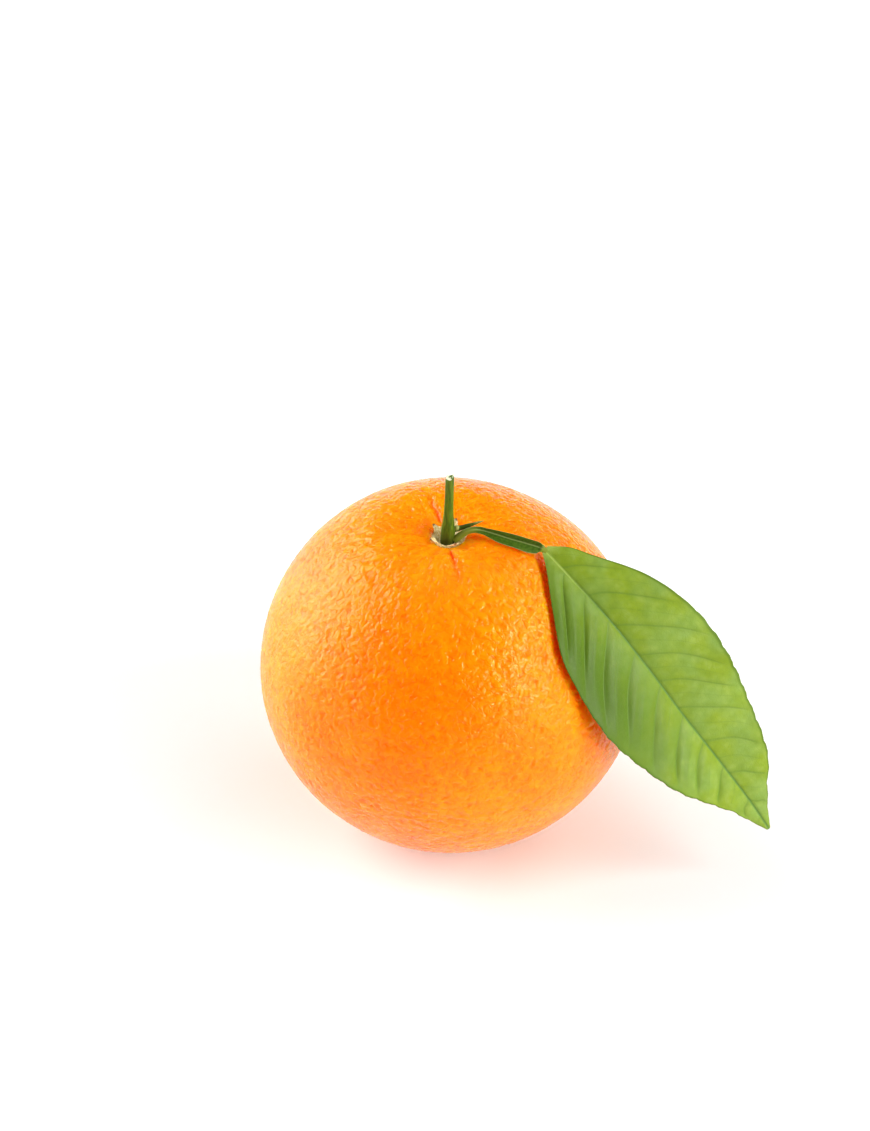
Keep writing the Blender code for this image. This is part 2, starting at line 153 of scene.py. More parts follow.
class Graph:
    """Short calls that add nodes to a tree and join them."""

    def __init__(self, tree: bpy.types.NodeTree) -> None:
        """Keeps the tree that the nodes go to."""
        self.tree = tree

    def add(self, kind: str, inputs: dict | None = None, **settings: Value) -> bpy.types.Node:
        """Adds one node.

        Args:
            kind: Blender's name for the node.
            inputs: values or sockets for its inputs, by name or by number.
            settings: properties of the node.

        Returns:
            The new node.
        """
        node = self.tree.nodes.new(kind)
        for name, value in settings.items():
            setattr(node, name, value)
        for key, value in (inputs or {}).items():
            self.feed(node.inputs[key], value)
        return node

    def feed(self, socket: Socket, value: Value) -> None:
        """Joins a socket to an input, or sets the input to a value.

        Args:
            socket: the input.
            value: a socket to join to it, or what to set it to.
        """
        if isinstance(value, Socket):
            self.tree.links.new(value, socket)
        else:
            socket.default_value = value

    def math(self, operation: str, *values: Value) -> Socket:
        """The result of one Math node."""
        inputs = dict(enumerate(values))
        return self.add("ShaderNodeMath", inputs, operation=operation).outputs[0]

    def sum(self, *parts: tuple[Value, Value]) -> Socket:
        """The weighted sum of some values.

        Args:
            parts: pairs of a value and its weight.

        Returns:
            The socket that holds the sum.
        """
        total = 0.0
        for value, weight in parts:
            total = self.math("MULTIPLY_ADD", value, weight, total)
        return total

    def vector(self, operation: str, *values: Value) -> Socket:
        """The vector result of one Vector Math node.

        Args:
            operation: Blender's name for it.
            values: its inputs in order. For SCALE the second is the number.

        Returns:
            The socket that holds the vector.
        """
        node = self.add("ShaderNodeVectorMath", operation=operation)
        for index, value in enumerate(values):
            place = "Scale" if operation == "SCALE" and index == 1 else index
            self.feed(node.inputs[place], value)
        return node.outputs[0]

    def fade(
        self, value: Value, low: Value, high: Value, start: Value = 0.0, end: Value = 1.0
    ) -> Socket:
        """A smooth step between two levels of a value.

        Args:
            value: what the step follows.
            low: where the step begins.
            high: where it ends.
            start: the result at low and before.
            end: the result at high and beyond.

        Returns:
            The socket that holds the result.
        """
        inputs = {0: value, 1: low, 2: high, 3: start, 4: end}
        node = self.add("ShaderNodeMapRange", inputs, interpolation_type="SMOOTHSTEP")
        return node.outputs[0]

    def scale_of(self, size: Value) -> Value:
        """The Scale of a texture whose pattern is about size across."""
        asked = isinstance(size, Socket)
        return self.math("DIVIDE", 1.0, size) if asked else 1 / size

    def noise(
        self, place: Value, size: Value, detail: float = 2.0, rough: float = 0.5
    ) -> bpy.types.Node:
        """A Noise Texture whose swells are about size across."""
        scale = self.scale_of(size)
        inputs = {"Vector": place, "Scale": scale, "Detail": detail, "Roughness": rough}
        return self.add("ShaderNodeTexNoise", inputs)

    def cells(self, place: Value, size: Value, feature: str = "F1") -> Socket:
        """Distance to the nearest of scattered points about size apart, as a share of size."""
        inputs = {"Vector": place, "Scale": self.scale_of(size), "Randomness": 1.0}
        return self.add("ShaderNodeTexVoronoi", inputs, feature=feature).outputs["Distance"]

    def blend(self, factor: Value, first: Value, second: Value) -> Socket:
        """A mix of two colours.

        Args:
            factor: the share of the second.
            first: a socket, or a plain colour of three numbers.
            second: the same.

        Returns:
            The socket that holds the mix.
        """
        colours = [(*c, 1.0) if isinstance(c, tuple) else c for c in (first, second)]
        inputs = {0: factor, 6: colours[0], 7: colours[1]}
        return self.add("ShaderNodeMix", inputs, data_type="RGBA").outputs[2]

    def parts(self, value: Value) -> tuple[Socket, ...]:
        """The x, y and z of a vector."""
        return tuple(self.add("ShaderNodeSeparateXYZ", {0: value}).outputs)

    def joined(self, x: Value, y: Value, z: Value) -> Socket:
        """A vector of three numbers."""
        return self.add("ShaderNodeCombineXYZ", {0: x, 1: y, 2: z}).outputs[0]


class Shaping(Graph):
    """A Geometry Nodes tree with named inputs, used once on an object and then removed."""

    def __init__(self, name: str) -> None:
        """Starts a tree with a mesh coming in and a mesh going out."""
        super().__init__(bpy.data.node_groups.new(name, "GeometryNodeTree"))
        self.values: dict[str, Value] = {}
        for way in ("INPUT", "OUTPUT"):
            self.tree.interface.new_socket(
                "Geometry", in_out=way, socket_type="NodeSocketGeometry"
            )
        self.start = self.add("NodeGroupInput")
        self.mesh = self.start.outputs["Geometry"]

    def ask(self, name: str, value: Value) -> Socket:
        """Adds a named input.

        Args:
            name: what the input is called.
            value: a whole number, a number or a material.

        Returns:
            The socket that gives the input to the tree.
        """
        kinds = {int: "NodeSocketInt", float: "NodeSocketFloat"}
        kind = kinds.get(type(value), "NodeSocketMaterial")
        made = self.tree.interface.new_socket(name, in_out="INPUT", socket_type=kind)
        self.values[made.identifier] = value
        return self.start.outputs[name]

    def attribute(self, name: str, kind: str = "FLOAT") -> Socket:
        """An attribute of the mesh that comes in."""
        node = self.add("GeometryNodeInputNamedAttribute", {"Name": name}, data_type=kind)
        return node.outputs["Attribute"]

    def random(self, low: Value, high: Value, seed: Value) -> Socket:
        """A random value at each point.

        Args:
            low: the least, a number or a vector.
            high: the most.
            seed: which draw.

        Returns:
            The socket that holds the value.
        """
        first, kind = (0, "FLOAT_VECTOR") if isinstance(low, tuple) else (2, "FLOAT")
        inputs = {first: low, first + 1: high, "Seed": seed}
        return self.add("FunctionNodeRandomValue", inputs, data_type=kind).outputs[first // 2]

    def keep(self, mesh: Value, name: str, value: Value) -> Socket:
        """Stores a number on each corner point of the mesh."""
        inputs = {"Geometry": mesh, "Name": name, "Value": value}
        return self.add("GeometryNodeStoreNamedAttribute", inputs, data_type="FLOAT").outputs[0]

    def repeat(self, points: Value, part: Value, turn: Value, size: Value) -> Socket:
        """A copy of a part on each point, turned and sized by its own draw."""
        inputs = {"Points": points, "Instance": part, "Rotation": turn, "Scale": size}
        return self.add("GeometryNodeInstanceOnPoints", inputs).outputs[0]

    def apply(self, piece: bpy.types.Object, mesh: Value, finish: bpy.types.Material) -> None:
        """Ends the tree, runs it on the piece and leaves a plain mesh.

        Args:
            piece: the object whose mesh goes through the tree.
            mesh: the socket that holds the result.
            finish: the material of the result.
        """
        material = self.ask("Finish", finish)
        whole = self.add("GeometryNodeRealizeInstances", {"Geometry": mesh}).outputs[0]
        smooth = self.add("GeometryNodeSetShadeSmooth", {"Geometry": whole}).outputs[0]
        dressed = self.add("GeometryNodeSetMaterial", {"Geometry": smooth, "Material": material})
        self.add("NodeGroupOutput", {0: dressed.outputs[0]})
        modifier = piece.modifiers.new(self.tree.name, "NODES")
        modifier.node_group = self.tree
        for identifier, value in self.values.items():
            modifier[identifier] = value
        settle(piece, finish)


class Coating(Graph):
    """The nodes of one material, which feed its shader."""

    def __init__(self, material: bpy.types.Material) -> None:
        """Starts from the shader that a new material has."""
        super().__init__(material.node_tree)
        self.shader = self.tree.nodes["Principled BSDF"]

    def set(self, name: str, value: Value) -> None:
        """Feeds a named input of the shader."""
        self.feed(self.shader.inputs[name], value)

    def place(self) -> Socket:
        """The place on the object, in metres."""
        return self.add("ShaderNodeTexCoord").outputs["Object"]

    def attribute(self, name: str, output: str = "Fac") -> Socket:
        """A value that the mesh carries."""
        return self.add("ShaderNodeAttribute", attribute_name=name).outputs[output]

    def raise_normal(self, height: Value, reach: float) -> None:
        """Bends the shader's normal by a height of which 1 stands for reach, in metres."""
        inputs = {"Strength": 1.0, "Distance": reach, "Height": height}
        self.set("Normal", self.add("ShaderNodeBump", inputs).outputs[0])


def settle(piece: bpy.types.Object, finish: bpy.types.Material) -> None:
    """Turns what the modifiers make of a piece into its plain mesh.

    Args:
        piece: the object with its modifiers.
        finish: its material, where the result has none.
    """
    graph = bpy.context.evaluated_depsgraph_get()
    data = bpy.data.meshes.new_from_object(piece.evaluated_get(graph), depsgraph=graph)
    piece.modifiers.clear()
    piece.data = data
    data.name = piece.name
    if not data.materials:
        data.materials.append(finish)


def linked(name: str, data: bpy.types.ID) -> bpy.types.Object:
    """A new object of the scene that shows some data."""
    made = bpy.data.objects.new(name, data)
    bpy.context.scene.collection.objects.link(made)
    return made


def store(data: bpy.types.Mesh, name: str, values: np.ndarray) -> None:
    """Stores a number or a vector on each point of a mesh.

    Args:
        data: the mesh.
        name: what the attribute is called.
        values: one row for each point.
    """
    vector = np.ndim(values) == 2
    made = data.attributes.new(name, "FLOAT_VECTOR" if vector else "FLOAT", "POINT")
    flat = np.asarray(values, np.float32).ravel()
    made.data.foreach_set("vector" if vector else "value", flat)


def mesh_piece(
    name: str,
    points: np.ndarray,
    faces: Sequence[Sequence[int]],
    finish: bpy.types.Material,
    **attributes: np.ndarray,
) -> bpy.types.Object:
    """A smooth-shaded object from points and faces.

    Args:
        name: the piece's name.
        points: its corner points.
        faces: the corners of each face, anticlockwise from outside.
        finish: its material.
        attributes: a value or a vector for each point, by name.

    Returns:
        The new object, linked to the scene.
    """
    data = bpy.data.meshes.new(name)
    data.from_pydata(np.asarray(points).tolist(), [], [list(map(int, face)) for face in faces])
    for key, values in attributes.items():
        store(data, key, values)
    data.materials.append(finish)
    data.shade_smooth()
    return linked(name, data)


def tube_faces(rows: int, count: int) -> list[list[int]]:
    """Faces over rings of points, closed at both ends, for points in rows of count.

    Args:
        rows: how many rings.
        count: how many points a ring has.

    Returns:
        The corners of each face, anticlockwise from outside for rings that turn
        anticlockwise about the way that they follow each other.
    """
    faces = []
    for row in range(rows - 1):
        near, far = row * count, (row + 1) * count
        for i in range(count):
            j = (i + 1) % count
            faces.append([near + i, near + j, far + j, far + i])
    faces.append(list(range(count))[::-1])
    faces.append([(rows - 1) * count + i for i in range(count)])
    return faces


def sheet_faces(stations: int, columns: int) -> list[list[int]]:
    """Faces of a closed thin blade whose points come as upper rows, then lower rows.

    Args:
        stations: how many rows each face has.
        columns: how many points a row has.

    Returns:
        The corners of each face, with the upper side facing up.
    """
    below = stations * columns
    faces = []
    for i in range(stations - 1):
        for j in range(columns - 1):
            a, b = i * columns + j, (i + 1) * columns + j
            faces.append([a, b, b + 1, a + 1])
            faces.append([below + a, below + a + 1, below + b + 1, below + b])
        a, b = i * columns, (i + 1) * columns
        faces.append([a, below + a, below + b, b])
        a, b = a + columns - 1, b + columns - 1
        faces.append([b, below + b, below + a, a])
    end = (stations - 1) * columns
    for j in range(columns - 1):
        faces.append([j, j + 1, below + j + 1, below + j])
        faces.append([end + j + 1, end + j, below + end + j, below + end + j + 1])
    return faces


def place_piece(piece: bpy.types.Object, stands_for: Sequence[str] = ()) -> None:
    """Rides a finished piece on the fruit's body.

    Args:
        piece: the finished piece.
        stands_for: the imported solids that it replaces.
    """
    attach(piece, BODY)
    if stands_for:
        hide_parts(*stands_for)
    log.info("%s: %d faces", piece.name, len(piece.data.polygons))


# Finishes


@dataclass(frozen=True)
class Finish:
    """What every finish shares: the steady values of its shader."""

    name: str = "plain"
    roughness: float = 0.5
    specular: float = 0.5
    glow: float = 0.0  # share of the light that travels beneath the surface
    glow_reach: Colour = (1.0, 0.4, 0.1)
    glow_depth: float = 1.0 * MM
    rough_range: tuple[float, float] = (0.4, 0.6)
    relief: float = 0.05 * MM  # how high the pattern of the finish stands

    def material(self) -> bpy.types.Material:
        """Builds the finish as a material.

        Returns:
            The new material.
        """
        made = bpy.data.materials.new(self.name)
        made.use_nodes = True
        graph = Coating(made)
        graph.set("Roughness", self.roughness)
        graph.set("Specular IOR Level", self.specular)
        graph.set("Subsurface Weight", self.glow)
        graph.set("Subsurface Radius", self.glow_reach)
        graph.set("Subsurface Scale", self.glow_depth)
        self.dress(graph)
        return made

    def dress(self, graph: Coating) -> None:
        """Feeds the colour, roughness and relief of the shader. Each finish has its own.

        Args:
            graph: the material's nodes.
        """

    def weather(self, graph: Coating, colour: Value, pattern: Value) -> None:
        """Feeds a colour, and a roughness and relief that follow one pattern.

        Args:
            graph: the material's nodes.
            colour: the finished colour.
            pattern: a noise about 0.5.
        """
        graph.set("Base Color", colour)
        graph.set("Roughness", graph.fade(pattern, 0.3, 0.7, *self.rough_range))
        graph.raise_normal(pattern, self.relief)


@dataclass(frozen=True)
class Glands:
    """The oil glands of the rind, which both its shape and its finish follow."""

    spacing: float = 1.9 * MM
    pore_spacing: float = 1.05 * MM
    furrow_size: float = 1.7 * MM
    grain_size: float = 1.25 * MM
    warp: float = 0.9 * MM
    warp_size: float = 1.5 * MM

    def relief(self, graph: Graph, place: Value, spacing: Value, pore_spacing: Value) -> tuple:
        """How deep the wide glands, small pores and wandering furrows sink at a place.

        Args:
            graph: the nodes of a shape or of a material.
            place: where to read the pattern.
            spacing: how far apart the wide glands are.
            pore_spacing: how far apart the small pores are.

        Returns:
            Three sockets from 0 to 1, for the glands, the pores and the furrows.
        """
        drift = graph.noise(place, self.warp_size, 1.0).outputs["Color"]
        centred = graph.vector("SUBTRACT", drift, (0.5, 0.5, 0.5))
        shifted = graph.vector("ADD", place, graph.vector("SCALE", centred, self.warp))
        wide = graph.fade(graph.cells(shifted, spacing), 0.05, 0.62, 1.0, 0.0)
        small = graph.fade(graph.cells(shifted, pore_spacing), 0.05, 0.6, 1.0, 0.0)
        level = graph.math("SUBTRACT", graph.noise(shifted, self.furrow_size, 1.0).outputs[0], 0.5)
        furrow = graph.fade(graph.math("ABSOLUTE", level), 0.0, 0.09, 1.0, 0.0)
        return wide, small, furrow


GLANDS = Glands()


@dataclass(frozen=True)
class RindFinish(Finish):
    """Waxy orange rind: deeper orange in its glands, partly painted shade in their hollows, and
    painted red shade in its creases.
    """

    name: str = "waxy_rind"
    roughness: float = 0.13
    specular: float = 0.21
    sheen: Colour = (1.0, 0.93, 0.52)  # the oily skin mirrors light a little golden
    glow: float = 1.0
    glow_reach: Colour = (1.0, 0.1, 0.02)
    glow_depth: float = 8.0 * MM
    bright: Colour = (0.91, 0.262, 0.001)
    warm: Colour = (0.90, 0.210, 0.001)
    golden: Colour = (0.92, 0.36, 0.002)
    # deeper orange of the glands, pores and furrows, partly painted shade in their hollows
    deep: Colour = (0.88, 0.112, 0.0)
    # painted shade in the creases
    crease_shade_red: Colour = (0.84, 0.075, 0.0)
    scar_brown: Colour = (0.17, 0.07, 0.02)
    scar_tan: Colour = (0.46, 0.26, 0.09)
    patch_size: float = 22 * MM
    mottle_size: float = 2.6 * MM
    # how much deeper orange each hollow turns: partly the glands' own colour, partly painted shade
    gland_tint_and_shade: float = 0.36
    pore_tint_and_shade: float = 0.22
    furrow_tint_and_shade: float = 0.25
    gland_relief: float = 0.065  # each relief in millimetres
    pore_relief: float = 0.05
    furrow_relief: float = 0.06
    grain_relief: float = 0.33
    fine_relief: float = 0.004
    fine_size: float = 0.4 * MM
    crust_size: float = 0.6 * MM

    def dress(self, graph: Coating) -> None:
        """Colour from patches, mottles and glands, with painted shade in the hollows and a painted
        red shade in the creases; relief from the glands.

        Args:
            graph: the material's nodes.
        """
        graph.set("Specular Tint", (*self.sheen, 1.0))
        place = graph.attribute("grain", "Vector")
        wide, small, furrow = GLANDS.relief(graph, place, GLANDS.spacing, GLANDS.pore_spacing)
        patches = graph.noise(place, self.patch_size, 2.0).outputs[0]
        mottles = graph.noise(place, self.mottle_size, 3.0).outputs[0]
        base = graph.blend(graph.fade(patches, 0.35, 0.65), self.warm, self.bright)
        base = graph.blend(graph.fade(mottles, 0.45, 0.75, 0.0, 0.35), base, self.golden)
        # painted shade in the hollows, mixed with the glands' deeper colour
        tints = (self.gland_tint_and_shade, self.pore_tint_and_shade, self.furrow_tint_and_shade)
        sunk = graph.sum(*zip((wide, small, furrow), tints))
        base = graph.blend(graph.math("MULTIPLY", sunk, 0.75), base, self.deep)
        # painted shade: redder where the creases cut deeper
        base = graph.blend(graph.attribute("crease"), base, self.crease_shade_red)
        crust = graph.noise(graph.place(), self.crust_size, 3.0, 0.65).outputs[0]
        cork = graph.blend(graph.fade(crust, 0.42, 0.6), self.scar_brown, self.scar_tan)
        frayed = graph.fade(crust, 0.3, 0.7, -0.3, 0.3)
        ragged = graph.math("ADD", graph.attribute("scar"), frayed)
        base = graph.blend(graph.fade(ragged, 0.36, 0.52), base, cork)
        graph.set("Base Color", base)
        fine = graph.noise(graph.place(), self.fine_size, 3.0, 0.6).outputs[0]
        grains = graph.noise(place, GLANDS.grain_size, 1.0).outputs[0]
        height = graph.sum(
            (wide, -self.gland_relief),
            (small, -self.pore_relief),
            (furrow, -self.furrow_relief),
            (grains, self.grain_relief),
            (fine, self.fine_relief),
        )
        bare = graph.fade(graph.attribute("bare"), 0.0, 1.0, 0.35, 1.0)
        graph.raise_normal(graph.math("MULTIPLY", height, bare), MM)
        rough = graph.fade(fine, 0.3, 0.7, self.roughness - 0.03, self.roughness + 0.04)
        graph.set("Roughness", rough)


@dataclass(frozen=True)
class CalyxFinish(Finish):
    """Dry cream cup that turns brown towards the tips of its sepals."""

    name: str = "dry_calyx"
    roughness: float = 0.8
    specular: float = 0.25
    cream: Colour = (0.90, 0.76, 0.42)
    tan: Colour = (0.66, 0.44, 0.12)
    brown: Colour = (0.20, 0.085, 0.02)
    streak_size: float = 0.35 * MM
    rough_range: tuple[float, float] = (0.7, 0.9)
    relief: float = 0.06 * MM

    def dress(self, graph: Coating) -> None:
        """Cream, streaked with tan, brown where the attribute tip is high.

        Args:
            graph: the material's nodes.
        """
        drawn = graph.vector("MULTIPLY", graph.place(), (1.0, 1.0, 0.3))
        streaks = graph.noise(drawn, self.streak_size, 4.0, 0.65).outputs[0]
        colour = graph.blend(graph.fade(streaks, 0.42, 0.62), self.cream, self.tan)
        tip = graph.attribute("tip")
        edge = graph.math("MULTIPLY_ADD", graph.math("SUBTRACT", streaks, 0.5), 0.7, tip)
        colour = graph.blend(graph.fade(edge, 0.68, 1.02), colour, self.brown)
        self.weather(graph, colour, streaks)


@dataclass(frozen=True)
class BarkFinish(Finish):
    """Green bark of a young twig, with fine lengthwise streaks."""

    name: str = "green_bark"
    roughness: float = 0.5
    specular: float = 0.2
    green: Colour = (0.088, 0.150, 0.003)
    dark: Colour = (0.042, 0.082, 0.002)
    olive: Colour = (0.125, 0.135, 0.004)
    # painted shade at the twig's foot, where it meets the calyx
    foot_painted_shade: Colour = (0.04, 0.04, 0.002)
    foot_height: float = 73.6 * MM
    shade_end_height: float = 78.5 * MM
    streak_size: float = 0.28 * MM
    patch_size: float = 0.8 * MM
    rough_range: tuple[float, float] = (0.4, 0.55)
    relief: float = 0.05 * MM

    def dress(self, graph: Coating) -> None:
        """Streaks along the twig, with painted shade darkening it towards the foot.

        Args:
            graph: the material's nodes.
        """
        place = graph.place()
        drawn = graph.vector("MULTIPLY", place, (1.0, 1.0, 0.07))
        streaks = graph.noise(drawn, self.streak_size, 3.0, 0.6).outputs[0]
        broad = graph.noise(drawn, self.patch_size, 2.0).outputs[0]
        colour = graph.blend(graph.fade(streaks, 0.38, 0.62), self.dark, self.green)
        colour = graph.blend(graph.fade(broad, 0.52, 0.68, 0.0, 0.6), colour, self.olive)
        # painted shade: darker towards the foot
        height = graph.parts(place)[2]
        foot = graph.fade(height, self.foot_height, self.shade_end_height, 0.75, 0.0)
        colour = graph.blend(foot, colour, self.foot_painted_shade)
        self.weather(graph, colour, streaks)


@dataclass(frozen=True)
class WoodFinish(Finish):
    """Pale wood of a fresh cut."""

    name: str = "cut_wood"
    roughness: float = 0.75
    specular: float = 0.3
    pale: Colour = (0.83, 0.84, 0.62)
    greenish: Colour = (0.52, 0.60, 0.26)
    grain_size: float = 0.22 * MM
    rough_range: tuple[float, float] = (0.65, 0.85)
    relief: float = 0.04 * MM

    def dress(self, graph: Coating) -> None:
        """Fine pale and greenish grain.

        Args:
            graph: the material's nodes.
        """
        grain = graph.noise(graph.place(), self.grain_size, 3.0, 0.6).outputs[0]
        colour = graph.blend(graph.fade(grain, 0.45, 0.7), self.pale, self.greenish)
        self.weather(graph, colour, grain)


@dataclass(frozen=True)
class ShootFinish(Finish):
    """Smooth green skin of thorn and bud, paler at the tip."""

    name: str = "young_shoot"
    roughness: float = 0.45
    specular: float = 0.2
    green: Colour = (0.045, 0.07, 0.004)
    light: Colour = (0.28, 0.30, 0.07)
    fleck_size: float = 0.3 * MM
    rough_range: tuple[float, float] = (0.36, 0.5)
    relief: float = 0.03 * MM

    def dress(self, graph: Coating) -> None:
        """Green that fades to light green with the attribute tip.

        Args:
            graph: the material's nodes.
        """
        flecks = graph.noise(graph.place(), self.fleck_size, 3.0).outputs[0]
        uneven = graph.fade(flecks, 0.3, 0.7, -0.12, 0.12)
        share = graph.math("ADD", graph.attribute("tip"), uneven)
        colour = graph.blend(graph.fade(share, 0.25, 0.95), self.green, self.light)
        self.weather(graph, colour, flecks)


@dataclass(frozen=True)
class StalkFinish(Finish):
    """Dark green winged stalk with a light rib, and a painted highlight along its edges."""

    name: str = "winged_stalk"
    roughness: float = 0.42
    specular: float = 0.16
    dark: Colour = (0.034, 0.078, 0.004)
    mid: Colour = (0.062, 0.120, 0.008)
    foot: Colour = (0.20, 0.24, 0.022)
    # the colour of the pale rib, and of the painted highlight along the edges
    light: Colour = (0.30, 0.37, 0.11)
    fleck_size: float = 0.5 * MM
    rough_range: tuple[float, float] = (0.34, 0.48)
    relief: float = 0.03 * MM

    def dress(self, graph: Coating) -> None:
        """The attribute blade holds the share along, across from -1 to 1, and the width.

        Args:
            graph: the material's nodes.
        """
        along, across, width = graph.parts(graph.attribute("blade", "Vector"))
        flecks = graph.noise(graph.place(), self.fleck_size, 3.0, 0.6).outputs[0]
        colour = graph.blend(graph.fade(flecks, 0.35, 0.65), self.dark, self.mid)
        off_rib = graph.math("ABSOLUTE", graph.math("MULTIPLY", across, width))
        rib = graph.fade(off_rib, 0.06, 0.26, 0.75, 0.0)
        # painted highlight along both edges of the wings
        edge = graph.fade(graph.math("ABSOLUTE", across), 0.88, 0.98, 0.0, 0.7)
        colour = graph.blend(graph.math("MAXIMUM", rib, edge), colour, self.light)
        foot = graph.fade(along, 0.16, 0.34, 0.9, 0.0)
        joint = graph.fade(along, 0.92, 0.96, 0.0, 0.9)
        colour = graph.blend(graph.math("MAXIMUM", foot, joint), colour, self.foot)
        self.weather(graph, colour, flecks)


@dataclass(frozen=True)
class LeafFinish(Finish):
    """Satin leaf: sunken darker veins above, a paler matte face beneath; painted shade in the vein
    creases and a painted shadow of the fruit on its left half.
    """

    name: str = "satin_leaf"
    roughness: float = 0.42
    specular: float = 0.13
    glow: float = 0.12
    glow_reach: Colour = (0.4, 1.0, 0.1)
    glow_depth: float = 0.4 * MM
    fresh: Colour = (0.202, 0.282, 0.016)
    # dark tone of random flecks and mottles, also the painted shade in the vein creases
    shade: Colour = (0.131, 0.208, 0.010)
    # painted shadow of the fruit on the leaf's left half, and the darker margin
    painted_shadow_and_dark_margin: Colour = (0.066, 0.125, 0.006)
    blue: Colour = (0.187, 0.285, 0.048)
    vein: Colour = (0.109, 0.191, 0.024)
    midrib: Colour = (0.109, 0.200, 0.036)
    light: Colour = (0.270, 0.357, 0.064)
    back: Colour = (0.31, 0.42, 0.11)
    back_vein: Colour = (0.44, 0.54, 0.20)
    length: float = 83.0  # this and the sizes below in millimetres, as the attribute blade is
    net_size: float = 1.1
    cloud_size: float = 9.0
    mottle_size: float = 2.4
    fleck_size: float = 0.6
    relief: float = 0.06 * MM

    def dress(self, graph: Coating) -> None:
        """The attribute blade holds share along, distance from the midrib and vein count.

        Args:
            graph: the material's nodes.
        """
        along, out, count = graph.parts(graph.attribute("blade", "Vector"))
        under = graph.attribute("under")
        margin = graph.attribute("margin")
        apart = graph.math("ABSOLUTE", out)
        nearest = graph.math("ABSOLUTE", graph.math("SUBTRACT", count, graph.math("ROUND", count)))
        between = graph.math("ABSOLUTE", graph.math("SUBTRACT", nearest, 0.5))
        fade_out = graph.fade(margin, 0.72, 0.97, 1.0, 0.0)
        veins = graph.math("MULTIPLY", graph.fade(nearest, 0.01, 0.05, 1.0, 0.0), fade_out)
        minor = graph.math("MULTIPLY", graph.fade(between, 0.006, 0.035, 0.22, 0.0), fade_out)
        rib = graph.fade(apart, 0.10, 0.36, 1.0, 0.0)
        flat = graph.joined(graph.math("MULTIPLY", along, self.length), out, 0.0)
        net = graph.cells(flat, self.net_size, "DISTANCE_TO_EDGE")
        mesh_lines = graph.fade(net, 0.0, 0.09, 1.0, 0.0)
        clouds = graph.noise(flat, self.cloud_size, 3.0).outputs[0]
        flecks = graph.noise(flat, self.fleck_size, 3.0, 0.65).outputs[0]
        top = graph.blend(graph.fade(clouds, 0.35, 0.65), self.fresh, self.blue)
        top = graph.blend(graph.fade(flecks, 0.45, 0.75, 0.0, 0.35), top, self.shade)
        left = graph.fade(out, -4.0, 0.0, 1.0, 0.0)
        mottles = graph.noise(flat, self.mottle_size, 4.0, 0.6).outputs[0]
        top = graph.blend(graph.fade(mottles, 0.48, 0.72, 0.0, 0.5), top, self.light)
        top = graph.blend(graph.fade(mottles, 0.34, 0.5, 0.35, 0.0), top, self.shade)
        # painted shade along the side veins, where the blade creases, stronger on the left half
        painted_vein_crease_shade = graph.fade(nearest, 0.0, 0.2, graph.math("MULTIPLY_ADD", left, 0.4, 0.35), 0.0)
        top = graph.blend(graph.math("MULTIPLY", painted_vein_crease_shade, fade_out), top, self.shade)
        # painted shadow of the fruit: darker towards the left margin, over the half of the leaf
        # nearer the stalk
        outer = graph.fade(out, -12.0, 6.0, 1.0, 0.0)
        painted_shadow_and_dark_margin = graph.math("MULTIPLY", outer, graph.fade(along, 0.35, 0.9, 1.0, 0.0))
        top = graph.blend(painted_shadow_and_dark_margin, top, self.painted_shadow_and_dark_margin)
        top = graph.blend(graph.math("MULTIPLY", mesh_lines, 0.12), top, self.vein)
        lines = graph.math("MAXIMUM", graph.math("MULTIPLY", veins, 0.5), minor)
        top = graph.blend(lines, top, self.vein)
        rib_colour = graph.blend(graph.fade(along, 0.05, 0.22), self.light, self.midrib)
        top = graph.blend(rib, top, rib_colour)
        # darker margin, in the painted shadow's colour
        top = graph.blend(graph.fade(margin, 0.94, 0.985, 0.0, 0.75), top, self.painted_shadow_and_dark_margin)
        top = graph.blend(graph.fade(along, 0.0, 0.035, 0.9, 0.0), top, self.light)
        back = graph.blend(graph.fade(flecks, 0.4, 0.7, 0.0, 0.5), self.back, self.blue)
        wide_rib = graph.fade(apart, 0.4, 0.75, 1.0, 0.0)
        pale = graph.math("MAXIMUM", veins, wide_rib)
        pale = graph.math("MAXIMUM", pale, graph.math("MULTIPLY", mesh_lines, 0.3))
        back = graph.blend(graph.math("MULTIPLY", pale, 0.8), back, self.back_vein)
        graph.set("Base Color", graph.blend(under, top, back))
        matte = graph.math("MULTIPLY", under, 0.22)
        gloss = graph.fade(flecks, 0.3, 0.7, self.roughness - 0.05, self.roughness + 0.07)
        graph.set("Roughness", graph.math("ADD", gloss, matte))
        raised = graph.math("MULTIPLY", pale, under)
        height = graph.sum((flecks, 0.5), (raised, 1.0), (lines, -0.8), (mesh_lines, -0.22))
        graph.raise_normal(height, self.relief)


@dataclass(frozen=True)
class FloorFinish(Finish):
    """Plain white studio floor."""

    name: str = "studio_floor"
    roughness: float = 0.9
    specular: float = 0.0
    white: Colour = (0.85, 0.85, 0.85)
    patch_size: float = 0.4
    dimmest: float = 0.985  # share of white

    def dress(self, graph: Coating) -> None:
        """White, with an unevenness too faint to see as a pattern.

        Args:
            graph: the material's nodes.
        """
        uneven = graph.noise(graph.place(), self.patch_size, 2.0).outputs[0]
        dim = tuple(self.dimmest * c for c in self.white)
        graph.set("Base Color", graph.blend(uneven, self.white, dim))


# The fruit


